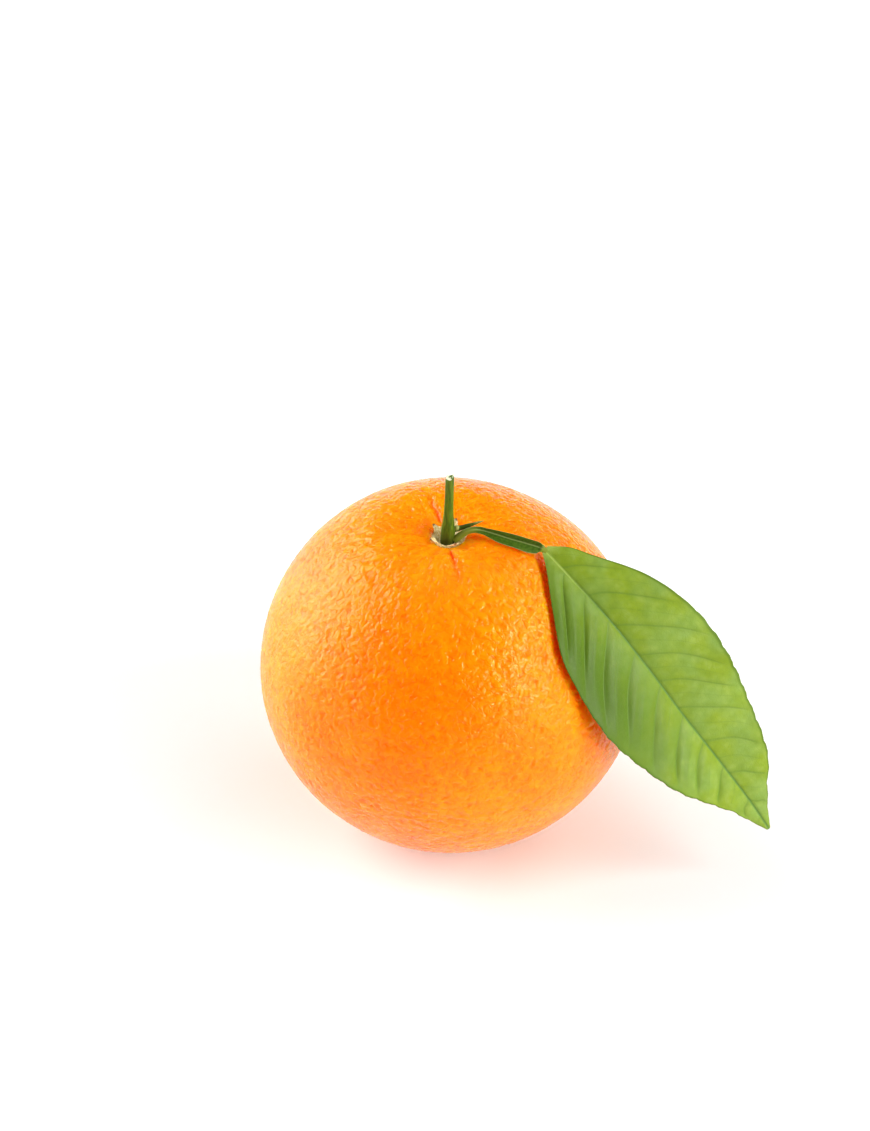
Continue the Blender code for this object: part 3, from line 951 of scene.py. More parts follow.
@dataclass
class Fruit:
    """The whole orange: rounded body, dented and creased stem end, glands, spot and scar."""

    width: float = 80 * MM
    height: float = 78 * MM
    pole_lean: float = -0.8 * MM
    shoulder: tuple[float, float] = (17 * MM, 1.9 * MM)  # reach and drop
    dent: tuple[float, float] = (7.5 * MM, 2.3 * MM)
    socket_place: tuple[float, float] = (-0.45 * MM, 0.3 * MM)
    socket_radius: float = 4.0 * MM
    socket_depth: float = 1.75 * MM
    socket_wall: tuple[float, float] = (3.0 * MM, 3.4 * MM)  # radii of its foot and its edge
    # Radius, width and height of the low swelling round the socket
    socket_lip: tuple[float, float, float] = (3.9 * MM, 1.0 * MM, 0.35 * MM)
    # Bearing in degrees from +X, reach from the stem and depth of each crease
    creases: tuple = (
        (-81, 18.0, 1.20),
        (-47, 10.5, 0.45),
        (-12, 11.5, 0.40),
        (24, 13.0, 0.50),
        (66, 11.0, 0.45),
        (108, 18.0, 1.10),
        (143, 11.0, 0.45),
        (178, 12.5, 0.50),
        (214, 10.5, 0.45),
        (247, 14.0, 0.60),
    )
    crease_width: float = 0.52 * MM
    # painted shade in the creases: the depth where it is fullest, and its strength
    crease_shade_red: tuple[float, float] = (0.9 * MM, 0.85)  # depth of the reddest, and how red
    scar_place: tuple[float, float] = (-3.4 * MM, 2.6 * MM)
    scar_radius: float = 1.7 * MM
    scar_depth: float = 0.5 * MM
    cells: int = 128  # along each edge of the cube that the grid starts from
    crowding: float = 1.25  # above 1, the grid is finer at the stem end
    gland_depth: float = 0.13 * MM
    pore_depth: float = 0.03 * MM
    furrow_depth: float = 0.06 * MM
    swell_size: float = 15 * MM
    swell_depth: float = 0.35 * MM
    wrinkle_size: float = 4.5 * MM
    wrinkle_depth: float = 0.14 * MM
    grain_reach: float = 24 * MM  # within this radius the glands draw out along the dent
    grain_pull: float = 0.76
    finish: RindFinish = field(default_factory=RindFinish)

    def body_height(self, radius: np.ndarray) -> np.ndarray:
        """Height of the bare rind near the stem end.

        Args:
            radius: distances from the fruit's axis.

        Returns:
            Heights above the middle of the fruit.
        """
        dome = self.height / 2 * np.sqrt(1 - np.minimum(1.0, radius / (self.width / 2)) ** 2)
        drop = self.shoulder[1] * bell(radius / self.shoulder[0])
        return dome - drop - self.dent[1] * bell(radius / self.dent[0])

    @property
    def socket_floor(self) -> float:
        """Height of the bottom of the pocket that the calyx sits in."""
        edge = float(self.body_height(np.array(self.socket_radius)))
        return MIDDLE_HEIGHT + edge - self.socket_depth

    def sphere_grid(self) -> tuple[np.ndarray, np.ndarray]:
        """An even grid of squares over a ball.

        Returns:
            Directions from the middle, and the four corners of each face.
        """
        n = self.cells
        steps = np.tan(np.linspace(-1, 1, n + 1) * math.pi / 4)
        u, v = np.meshgrid(steps, steps, indexing="ij")
        one = np.ones_like(u)
        sides = [(one, u, v), (-one, v, u), (v, one, u), (u, -one, v), (u, v, one), (v, u, -one)]
        points = np.concatenate([np.stack(side, axis=-1).reshape(-1, 3) for side in sides])
        index = np.arange((n + 1) ** 2).reshape(n + 1, n + 1)
        square = np.stack([index[:-1, :-1], index[1:, :-1], index[1:, 1:], index[:-1, 1:]], axis=-1)
        faces = np.concatenate([square.reshape(-1, 4) + k * (n + 1) ** 2 for k in range(6)])
        exact = np.round(points * 1e6).astype(np.int64)
        _, first, owner = np.unique(exact, axis=0, return_index=True, return_inverse=True)
        return unit(points[first]), owner.ravel()[faces]

    def crease_depth(self, radius: np.ndarray, bearing: np.ndarray) -> np.ndarray:
        """How deep the creases cut.

        Args:
            radius: distances from the fruit's axis.
            bearing: bearings about it, from +X.

        Returns:
            Depths in metres.
        """
        depth = np.zeros_like(radius)
        start = rise(radius, 0.8 * self.socket_radius, 1.6 * self.socket_radius)
        for degrees, reach, deepest in self.creases:
            apart = np.abs((bearing - math.radians(degrees) + math.pi) % math.tau - math.pi)
            across = radius * apart / (self.crease_width * (0.6 + radius / (reach * MM)))
            depth += deepest * MM * start * bell(radius / (reach * MM)) * np.exp(-(across**2))
        return depth

    def form(self, directions: np.ndarray) -> dict[str, np.ndarray]:
        """The rind without its glands.

        Args:
            directions: unit vectors from the middle of the fruit.

        Returns:
            The points, and by name the values that the glands and the finish follow.
        """
        half_width, half_height = self.width / 2, self.height / 2
        polar = math.pi * (np.arccos(np.clip(directions[:, 2], -1, 1)) / math.pi) ** self.crowding
        bearing = np.arctan2(directions[:, 1], directions[:, 0])
        radius = half_width * np.sin(polar)
        upper = polar < math.pi / 2
        capped = upper & (radius < self.shoulder[0])
        height = np.where(capped, self.body_height(radius), half_height * np.cos(polar))
        points = np.stack([radius * np.cos(bearing), radius * np.sin(bearing), height], axis=1)
        outwards = unit(points * np.array([1, 1, (half_width / half_height) ** 2]))
        bare = rise(height + MIDDLE_HEIGHT, 0.4 * MM, 3 * MM)
        outside = rise(radius, 0.9 * self.socket_radius, 2.2 * self.socket_radius)
        bare *= np.where(upper, outside, 1.0)
        crease = np.where(upper, self.crease_depth(radius, bearing), 0.0)
        near = np.where(upper, bell(radius / self.grain_reach), 0.0)
        swell = self.swell_depth * 0.5 * ripple(points / self.swell_size / 1.6, 3, 9)
        swell += self.wrinkle_depth * near * ripple(points / self.wrinkle_size / 1.6, 5, 9)
        points -= outwards * (crease - swell * bare)[:, None]
        points[:, 0] += self.pole_lean * np.maximum(0.0, np.cos(polar)) ** 2
        points[:, 2] = np.maximum(0.0, points[:, 2] + MIDDLE_HEIGHT)
        self.sink_socket(points, upper)
        scar = self.sink_scar(points, upper)
        pull = np.maximum(radius, 1 * MM) / self.grain_reach
        drawn = np.where(upper & (radius < self.grain_reach), pull ** (self.grain_pull - 1), 1.0)
        grain = points * np.stack([drawn, drawn, np.ones_like(drawn)], axis=1)
        # painted shade for the creases, from how deep they cut
        reddest, share = self.crease_shade_red
        crease_shade = np.clip(crease / reddest, 0, 1) * share
        return {"points": points, "grain": grain, "bare": bare, "crease": crease_shade, "scar": scar}

    def sink_socket(self, points: np.ndarray, upper: np.ndarray) -> None:
        """Lowers the rind round the foot of the calyx.

        Args:
            points: the points of the rind, moved in place.
            upper: which of them are on the stem's half.
        """
        away = np.hypot(points[:, 0] - self.socket_place[0], points[:, 1] - self.socket_place[1])
        radius, width, height = self.socket_lip
        points[:, 2] += np.where(upper, height * np.exp(-(((away - radius) / width) ** 2)), 0.0)
        inside = np.where(upper, 1 - rise(away, *self.socket_wall), 0.0)
        points[:, 2] += (self.socket_floor - points[:, 2]) * inside

    def sink_scar(self, points: np.ndarray, upper: np.ndarray) -> np.ndarray:
        """Hollows the scar of the style in the underside.

        Args:
            points: the points of the rind, moved in place.
            upper: which of them are on the stem's half.

        Returns:
            How brown each point is.
        """
        away = np.hypot(points[:, 0] - self.scar_place[0], points[:, 1] - self.scar_place[1])
        share = np.where(upper, 1.0, np.minimum(1.0, away / self.scar_radius))
        points[:, 2] += self.scar_depth * np.sqrt(1 - share**2)
        brown = 1 - rise(away, 0.6 * self.scar_radius, 1.25 * self.scar_radius)
        return np.where(upper, 0.0, 0.85 * brown)

    def build(self) -> bpy.types.Object:
        """Makes the rind, with its glands pressed in by a Geometry Nodes tree.

        Returns:
            The finished piece.
        """
        directions, faces = self.sphere_grid()
        values = self.form(directions)
        finish = self.finish.material()
        piece = mesh_piece("rind", values.pop("points"), faces, finish, **values)
        self.press_glands(piece, finish)
        place_piece(piece, ["fruit"])
        return piece

    def press_glands(self, piece: bpy.types.Object, finish: bpy.types.Material) -> None:
        """Sinks the glands and pores into the rind, where its attribute bare lets them.

        Args:
            piece: the rind without them.
            finish: its material.
        """
        shape = Shaping("oil_glands")
        spacing = shape.ask("Gland spacing", GLANDS.spacing)
        pore_spacing = shape.ask("Pore spacing", GLANDS.pore_spacing)
        gland_depth = shape.ask("Gland depth", self.gland_depth)
        pore_depth = shape.ask("Pore depth", self.pore_depth)
        furrow_depth = shape.ask("Furrow depth", self.furrow_depth)
        grain = shape.attribute("grain", "FLOAT_VECTOR")
        wide, small, furrow = GLANDS.relief(shape, grain, spacing, pore_spacing)
        depth = shape.sum((wide, gland_depth), (small, pore_depth), (furrow, furrow_depth))
        depth = shape.math("MULTIPLY", depth, shape.attribute("bare"))
        normal = shape.add("GeometryNodeInputNormal").outputs[0]
        offset = shape.vector("SCALE", normal, shape.math("MULTIPLY", depth, -1.0))
        sunk = shape.add("GeometryNodeSetPosition", {"Geometry": shape.mesh, "Offset": offset})
        shape.apply(piece, sunk.outputs[0], finish)


# The calyx


@dataclass
class Calyx:
    """The dry cup at the stem end, with its ring of short sepals and its fibres."""

    place: tuple[float, float]
    foot: float
    radius: float = 2.95 * MM
    sepal_count: int = 5
    lobe_length: float = 0.3 * MM
    unevenness: float = 0.12
    sides: int = 160
    rings: int = 44
    fray: tuple[float, float] = (0.018, 0.14)  # share of the radius, millimetres up
    # From the middle of the foot round the rim to the middle: radius share, millimetres up
    section: tuple = (
        (0.0, 0.0),
        (0.80, 0.0),
        (0.94, 0.40),
        (1.00, 0.90),
        (1.06, 1.12),
        (1.07, 1.26),
        (1.01, 1.32),
        (0.93, 1.12),
        (0.82, 0.72),
        (0.66, 0.42),
        (0.0, 0.35),
    )
    sepal_size: tuple[float, float, float] = (2.5 * MM, 2.1 * MM, 0.14 * MM)
    sepal_grid: tuple[int, int] = (13, 11)  # points across and along
    sepal_ring: tuple[float, float] = (0.97, 1.45 * MM)  # share of the radius, height
    fibre_ring: tuple[float, float] = (1.04, 1.3 * MM)  # share of the reach, height
    fibre_count: int = 280
    fibre_size: tuple[float, float] = (0.055 * MM, 1.15 * MM)  # radius and length
    finish: CalyxFinish = field(default_factory=CalyxFinish)

    def reach(self, bearing: np.ndarray) -> np.ndarray:
        """Radius of the rim at a bearing."""
        lobe = np.abs(np.cos(self.sepal_count / 2 * bearing)) ** 1.5
        uneven = 1 + self.unevenness * np.sin(2 * bearing + 0.7)
        return self.radius + self.lobe_length * lobe * uneven

    def build(self) -> list[bpy.types.Object]:
        """Makes the cup, the sepals and the fibres."""
        finish = self.finish.material()
        return [self.build_cup(finish), self.build_sepals(finish), self.build_fibres(finish)]

    def build_cup(self, finish: bpy.types.Material) -> bpy.types.Object:
        """The cup, turned about its middle and frayed at its rim.

        Args:
            finish: the material of the calyx.

        Returns:
            The finished piece.
        """
        bearing = math.tau * np.arange(self.sides) / self.sides
        profile = smooth_path(self.section, self.rings)
        rows, tips = [], []
        for share, up in profile:
            share = max(share, 0.02)
            wobble = ripple(np.stack([bearing * 9, np.full_like(bearing, up)], 1), 11)
            fray = 1 + self.fray[0] * wobble * share
            radius = self.reach(bearing) * share * fray
            rim = rise(up, 0.8, 1.3)
            height = up + rim * self.fray[1] * ripple(np.stack([bearing * 4, bearing * 0], 1), 12)
            rows.append(np.stack([
                self.place[0] + radius * np.cos(bearing),
                self.place[1] + radius * np.sin(bearing),
                self.foot + height * MM,
            ], axis=1))
            tips.append(np.full(self.sides, 0.4 - 0.35 * rim))
        faces = tube_faces(len(rows), self.sides)
        cup = mesh_piece("calyx_cup", np.concatenate(rows), faces, finish, tip=np.concatenate(tips))
        place_piece(cup, ["calyx"])
        return cup

    def sepal(self) -> tuple[np.ndarray, list[list[int]], np.ndarray]:
        """One dry scale that leans outwards from the origin along +X and curls up.

        Returns:
            Its points, its faces and how brown each point is.
        """
        width, length, thick = self.sepal_size
        across, along = self.sepal_grid
        tops, tips = [], []
        for i in range(along):
            share = i / (along - 1)
            half = width / 2 * (1 - share) ** 0.62 * (1 + 0.08 * math.sin(9 * share))
            for j in range(across):
                side = 2 * j / (across - 1) - 1
                up = 0.22 * length * share**1.6 + 0.10 * width * side * side
                tops.append((length * share, half * side, up))
                tips.append(0.15 + 0.85 * share)
        tops = np.array(tops)
        points = np.concatenate([tops, tops - [0, 0, thick]])
        return points, sheet_faces(along, across), np.array(tips + tips)

    def build_sepals(self, finish: bpy.types.Material) -> bpy.types.Object:
        """Repeats the scale round the rim with a Geometry Nodes tree.

        Args:
            finish: the material of the calyx.

        Returns:
            The finished piece.
        """
        points, faces, tips = self.sepal()
        piece = mesh_piece("sepals", points, faces, finish, tip=tips)
        shape = Shaping("ring_of_sepals")
        count = shape.ask("Count", self.sepal_count)
        radius = shape.ask("Radius", self.radius * self.sepal_ring[0])
        height = shape.ask("Height", self.foot + self.sepal_ring[1])
        seed = shape.ask("Seed", 4)
        inputs = {"Vertices": count, "Radius": radius}
        ring = shape.add("GeometryNodeMeshCircle", inputs).outputs[0]
        spot = shape.add("GeometryNodeInputPosition").outputs[0]
        x, y, _ = shape.parts(spot)
        turn = shape.math("ARCTAN2", y, x)
        sway = shape.random(-0.16, 0.16, seed)
        lean = shape.random(-0.75, -0.42, shape.math("ADD", seed, 1))
        euler = shape.joined(0.0, lean, shape.math("ADD", turn, sway))
        rotation = shape.add("FunctionNodeEulerToRotation", {0: euler}).outputs[0]
        size = shape.random((0.8, 0.75, 0.9), (1.2, 1.1, 1.15), shape.math("ADD", seed, 2))
        many = shape.repeat(ring, shape.mesh, rotation, size)
        centre = shape.joined(*self.place, height)
        inputs = {"Geometry": many, "Translation": centre}
        moved = shape.add("GeometryNodeTransform", inputs).outputs[0]
        shape.apply(piece, moved, finish)
        place_piece(piece)
        return piece

    def build_fibres(self, finish: bpy.types.Material) -> bpy.types.Object:
        """Short dry fibres that a Geometry Nodes tree stands on the frayed rim.

        Args:
            finish: the material of the calyx.

        Returns:
            The finished piece.
        """
        bearing = math.tau * np.arange(self.fibre_count) / self.fibre_count
        outward = np.stack([np.cos(bearing), np.sin(bearing), 0 * bearing], 1)
        share, height = self.fibre_ring
        reach = self.reach(bearing)[:, None] * share
        rim = np.array([*self.place, self.foot + height]) + outward * reach
        piece = mesh_piece("rim_fibres", rim, [], finish, outward=outward)
        shape = Shaping("fibres_on_rim")
        seed = shape.ask("Seed", 9)
        radius = shape.ask("Fibre radius", self.fibre_size[0])
        length = shape.ask("Fibre length", self.fibre_size[1])
        inputs = {"Vertices": 5, "Radius Bottom": radius, "Depth": length}
        cone = shape.add("GeometryNodeMeshCone", inputs).outputs[0]
        stray = shape.random((-0.7, -0.7, 0.0), (0.7, 0.7, 0.7), seed)
        aim = shape.vector("ADD", shape.attribute("outward", "FLOAT_VECTOR"), stray)
        aligned = shape.add("FunctionNodeAlignRotationToVector", {"Vector": aim}, axis="Z")
        size = shape.random((0.6, 0.6, 0.35), (1.3, 1.3, 1.3), shape.math("ADD", seed, 1))
        many = shape.repeat(shape.mesh, cone, aligned.outputs[0], size)
        whole = shape.add("GeometryNodeRealizeInstances", {"Geometry": many}).outputs[0]
        shape.apply(piece, shape.keep(whole, "tip", 0.0), finish)
        place_piece(piece)
        return piece


# The twig


def sweep(
    name: str,
    path: np.ndarray,
    girth: np.ndarray,
    finish: bpy.types.Material,
    sides: int = 24,
    tip: np.ndarray | None = None,
) -> bpy.types.Object:
    """A round rod along a path, made by a Geometry Nodes tree.

    Args:
        name: the piece's name.
        path: the points that its middle passes through.
        girth: its radius at each of them.
        finish: its material.
        sides: how many corners its section has.
        tip: a value for the finish at each point of the path.

    Returns:
        The rod as a plain mesh.
    """
    data = bpy.data.meshes.new(name)
    data.from_pydata(path.tolist(), [(i, i + 1) for i in range(len(path) - 1)], [])
    shares = np.linspace(0, 1, len(path)) if tip is None else tip
    store(data, "girth", girth)
    store(data, "tip", shares)
    piece = linked(name, data)
    shape = Shaping(f"{name}_sweep")
    corners = shape.ask("Sides", sides)
    thickness = shape.ask("Thickness", 1.0)
    line = shape.add("GeometryNodeMeshToCurve", {"Mesh": shape.mesh}).outputs[0]
    inputs = {"Resolution": corners, "Radius": 1.0}
    ring = shape.add("GeometryNodeCurvePrimitiveCircle", inputs).outputs[0]
    scale = shape.math("MULTIPLY", shape.attribute("girth"), thickness)
    inputs = {"Curve": line, "Profile Curve": ring, "Scale": scale, "Fill Caps": True}
    rod = shape.add("GeometryNodeCurveToMesh", inputs)
    shape.apply(piece, rod.outputs[0], finish)
    return piece


@dataclass
class Twig:
    """The cut piece of green twig, with its thorn, its bud and its pale cut."""

    foot: float
    top: float = 90.2 * MM
    place: float = -0.75 * MM
    lean: float = 0.45 * MM
    tip_radius: float = 0.88 * MM
    taper: float = 0.12 * MM
    node_radius: float = 1.55 * MM
    node_height: float = 5.1 * MM
    node_fade: float = 1.3 * MM
    ridges: int = 5
    ridge_depth: float = 0.04
    sides: int = 96
    stations: int = 120
    splinter: float = 0.7 * MM
    cut_grid: tuple[int, int] = (12, 48)  # rings, and points round each
    cut_grain: tuple[float, float] = (0.055 * MM, 0.55 * MM)  # height and size
    thorn_points: tuple[Point, ...] = ((0.0, 0.25, 75.6), (3.3, 0.75, 76.5), (6.75, 1.25, 77.5))
    thorn_radius: float = 0.5 * MM
    bud_place: Point = (0.95, 0.35, 76.1)
    bud_radius: float = 0.55 * MM
    bark: BarkFinish = field(default_factory=BarkFinish)
    wood: WoodFinish = field(default_factory=WoodFinish)
    shoot: ShootFinish = field(default_factory=ShootFinish)

    def radius_at(self, height: np.ndarray, length: float) -> np.ndarray:
        """Radius of the twig: thick up to the leaf node, then slimmer towards the cut.

        Args:
            height: how far up from the foot.
            length: how long the twig is.

        Returns:
            The radius there.
        """
        slim = self.tip_radius + self.taper * (1 - height / length)
        node = 1 / (1 + np.exp((height - self.node_height) / self.node_fade))
        return slim + (self.node_radius - slim) * node

    def torn(self, out: np.ndarray) -> np.ndarray:
        """How far the torn fibre lifts the cut, from how far out towards +X a point lies."""
        return self.splinter * rise(out / self.tip_radius, 0.3, 1.0)

    def build(self) -> list[bpy.types.Object]:
        """Makes the bark, the cut, the thorn and the bud."""
        return [self.build_bark(), self.build_cut(), self.build_thorn(), self.build_bud()]

    def build_bark(self) -> bpy.types.Object:
        """The ridged and finely grooved rod of the twig.

        Returns:
            The finished piece.
        """
        bearing = math.tau * np.arange(self.sides) / self.sides
        length = self.top - self.foot
        rows = []
        for i in range(self.stations + 1):
            share = i / self.stations
            up = share * length
            ridged = 1 + self.ridge_depth * np.cos(self.ridges * bearing + 0.9 * share)
            around = np.stack([np.cos(bearing), np.sin(bearing)], 1) * 1.6
            places = np.column_stack([around, np.full_like(bearing, share * 1.4)])
            grooved = 1 + 0.02 * ripple(places, 21, 9)
            radius = self.radius_at(np.array(up), length) * ridged * grooved
            rows.append(np.stack([
                self.place + self.lean * share + radius * np.cos(bearing),
                radius * np.sin(bearing),
                np.full_like(bearing, self.foot + up),
            ], axis=1))
        rows[-1][:, 2] += self.torn(rows[-1][:, 0] - self.place - self.lean)
        inner = rows[-1].copy()
        middle = np.array([self.place + self.lean, 0.0])
        inner[:, :2] = middle + (inner[:, :2] - middle) * 0.9
        inner[:, 2] -= 0.06 * MM
        rows.append(inner)
        faces = tube_faces(len(rows), self.sides)
        piece = mesh_piece("twig_bark", np.concatenate(rows), faces, self.bark.material())
        place_piece(piece, ["stem"])
        return piece

    def build_cut(self) -> bpy.types.Object:
        """The pale wood of the cut, rough with short fibres and torn up on one side.

        Returns:
            The finished piece.
        """
        rings, sides = self.cut_grid
        high, size = self.cut_grain
        bearing = math.tau * np.arange(sides) / sides
        ridged = 1 + self.ridge_depth * np.cos(self.ridges * bearing + 0.9)
        rows = []
        for share in np.linspace(0.93, 0.04, rings):
            radius = self.tip_radius * share * ridged
            x, y = radius * np.cos(bearing), radius * np.sin(bearing)
            rough = high * ripple(np.stack([x, y], 1) / size, 31, 9)
            lift = self.torn(x) * 1.08 + rough * (1 - share**6) + 0.03 * MM
            rows.append(np.stack([self.place + self.lean + x, y, self.top + lift], 1))
        skirt = rows[0].copy()
        skirt[:, 2] -= 0.5 * MM
        points = np.concatenate([skirt, *rows])
        piece = mesh_piece("twig_cut", points, tube_faces(rings + 1, sides), self.wood.material())
        place_piece(piece)
        return piece

    def build_thorn(self) -> bpy.types.Object:
        """The slim thorn beside the leaf.

        Returns:
            The finished piece.
        """
        path = smooth_path(self.thorn_points, 40) * MM
        share = np.linspace(0, 1, 40)
        girth = self.thorn_radius * (1.15 - 0.35 * share - 0.72 * share**3)
        girth = np.maximum(girth, 0.05 * MM)
        piece = sweep("thorn", path, girth, self.shoot.material(), 20, share**2)
        place_piece(piece)
        return piece

    def build_bud(self) -> bpy.types.Object:
        """The small resting bud in the angle of the leaf.

        Returns:
            The finished piece.
        """
        middle = np.array(self.bud_place) * MM
        along = unit(np.array([0.75, 0.1, 0.65]))
        share = np.linspace(0, 1, 24)
        path = middle + np.outer((share - 0.45) * 3.0 * self.bud_radius, along)
        plump = np.sqrt(np.clip(1 - (2 * share - 1) ** 2, 0.004, 1))
        girth = self.bud_radius * plump * (1 + 0.1 * np.cos(9 * share))
        piece = sweep("bud", path, girth, self.shoot.material(), 20, 0.45 + 0.5 * share)
        place_piece(piece)
        return piece


# The stalk and the leaf


@dataclass
class BladeFrame:
    """Directions along a rib: forwards, sideways and up, one row for each station."""

    path: np.ndarray
    faces: Point = (0.0, -0.731, 0.682)

    def directions(self) -> tuple[np.ndarray, np.ndarray, np.ndarray]:
        """The forward, side and up directions at each point of the path."""
        ahead = np.vstack([self.path[1:], self.path[-1:]])
        back = np.vstack([self.path[:1], self.path[:-1]])
        forward = unit(ahead - back)
        side = unit(np.cross(np.array(self.faces), forward))
        return forward, side, np.cross(forward, side)


@dataclass
class Stalk:
    """The leaf stalk: a round foot, two folded wings and the joint with the leaf."""

    points: tuple[Point, ...] = (
        (0.6, -0.6, 73.9),
        (1.35, -0.75, 74.6),
        (2.45, -0.75, 75.65),
        (3.9, -0.85, 76.65),
        (5.9, -1.2, 77.15),
        (9.0, -2.2, 76.95),
        (12.1, -3.0, 76.35),
        (15.3, -3.55, 75.65),
        (18.3, -4.0, 74.8),
        (19.6, -4.75, 74.15),
    )
    # Half-width along the stalk, in millimetres
    outline: tuple = (
        (0.0, 0.8),
        (0.12, 0.72),
        (0.24, 0.68),
        (0.34, 0.95),
        (0.50, 1.55),
        (0.68, 1.85),
        (0.82, 1.85),
        (0.90, 1.6),
        (0.932, 1.0),
        (0.955, 0.68),
        (1.0, 0.66),
    )
    folds: dict[Half, float] = field(default_factory=lambda: {Half.LEFT: 22, Half.RIGHT: 56})
    # Shares of the length where the wings begin, are full, narrow and are gone
    winged: tuple[float, float, float, float] = (0.22, 0.38, 0.915, 0.95)
    wave: tuple[float, float] = (0.10 * MM, 2.2)  # height and count
    streaks: tuple[float, float] = (0.05 * MM, 0.42 * MM)  # height and spacing
    groove: tuple[float, float] = (0.14 * MM, 0.22 * MM)  # depth and half-width
    rib: tuple[float, float] = (0.5 * MM, 0.45 * MM)  # height and half-width
    thickness: float = 0.34 * MM
    stations: int = 180
    columns: int = 41
    finish: StalkFinish = field(default_factory=StalkFinish)

    def build(self) -> bpy.types.Object:
        """Makes the stalk from sections that change from round to winged and back.

        Returns:
            The finished piece.
        """
        path = smooth_path(self.points, self.stations) * MM
        _, side, up = BladeFrame(path).directions()
        share = np.linspace(0, 1, self.stations)
        width = read_curve(self.outline, share) * MM
        start, full_from, full_to, end = self.winged
        flat = rise(share, start, full_from) * (1 - rise(share, full_to, end))
        t = np.linspace(-1, 1, self.columns)
        fold = np.radians(np.where(t < 0, self.folds[Half.LEFT], self.folds[Half.RIGHT]))
        round_profile = np.sqrt(np.clip(1 - t * t, 0, 1))
        upper, lower, blade = [], [], []
        for i in range(self.stations):
            sway = np.sin(math.tau * (3.1 * share[i] + 0.3 * np.sign(t)))
            out = width[i] * t * (1 + 0.05 * sway * flat[i])
            turn = math.tau * self.wave[1] * share[i] + 1.5 * np.sign(t)
            wave = self.wave[0] * np.sin(turn) * t * t
            curl = 0.18 * np.abs(out) * t * t
            lift = flat[i] * (np.abs(out) * np.sin(fold) + wave - curl)
            spread = out * (1 - flat[i] + flat[i] * np.cos(fold))
            crown = width[i] * round_profile * (1 - flat[i])
            fine = self.streaks[0] * np.cos(out / self.streaks[1] * math.tau)
            streaks = fine * flat[i] * round_profile
            groove = self.groove[0] * np.exp(-((out / self.groove[1]) ** 2)) * flat[i]
            thin = self.thickness * (0.4 + 0.6 * round_profile)
            rib = self.rib[0] * np.exp(-((out / self.rib[1]) ** 2))
            depth = flat[i] * (thin + rib) + (1 - flat[i]) * 1.6 * crown + 0.01 * MM
            height = lift + 0.5 * crown + streaks - groove
            top = path[i] + np.outer(spread, side[i]) + np.outer(height, up[i])
            upper.append(top)
            lower.append(top - np.outer(depth, up[i]))
            whole = np.ones_like(t)
            blade.append(np.stack([whole * share[i], t, whole * width[i] / MM], 1))
        points = np.concatenate(upper + lower)
        values = np.concatenate(blade + blade)
        faces = sheet_faces(self.stations, self.columns)
        piece = mesh_piece("stalk", points, faces, self.finish.material(), blade=values)
        place_piece(piece, ["leaf_stalk"])
        return piece


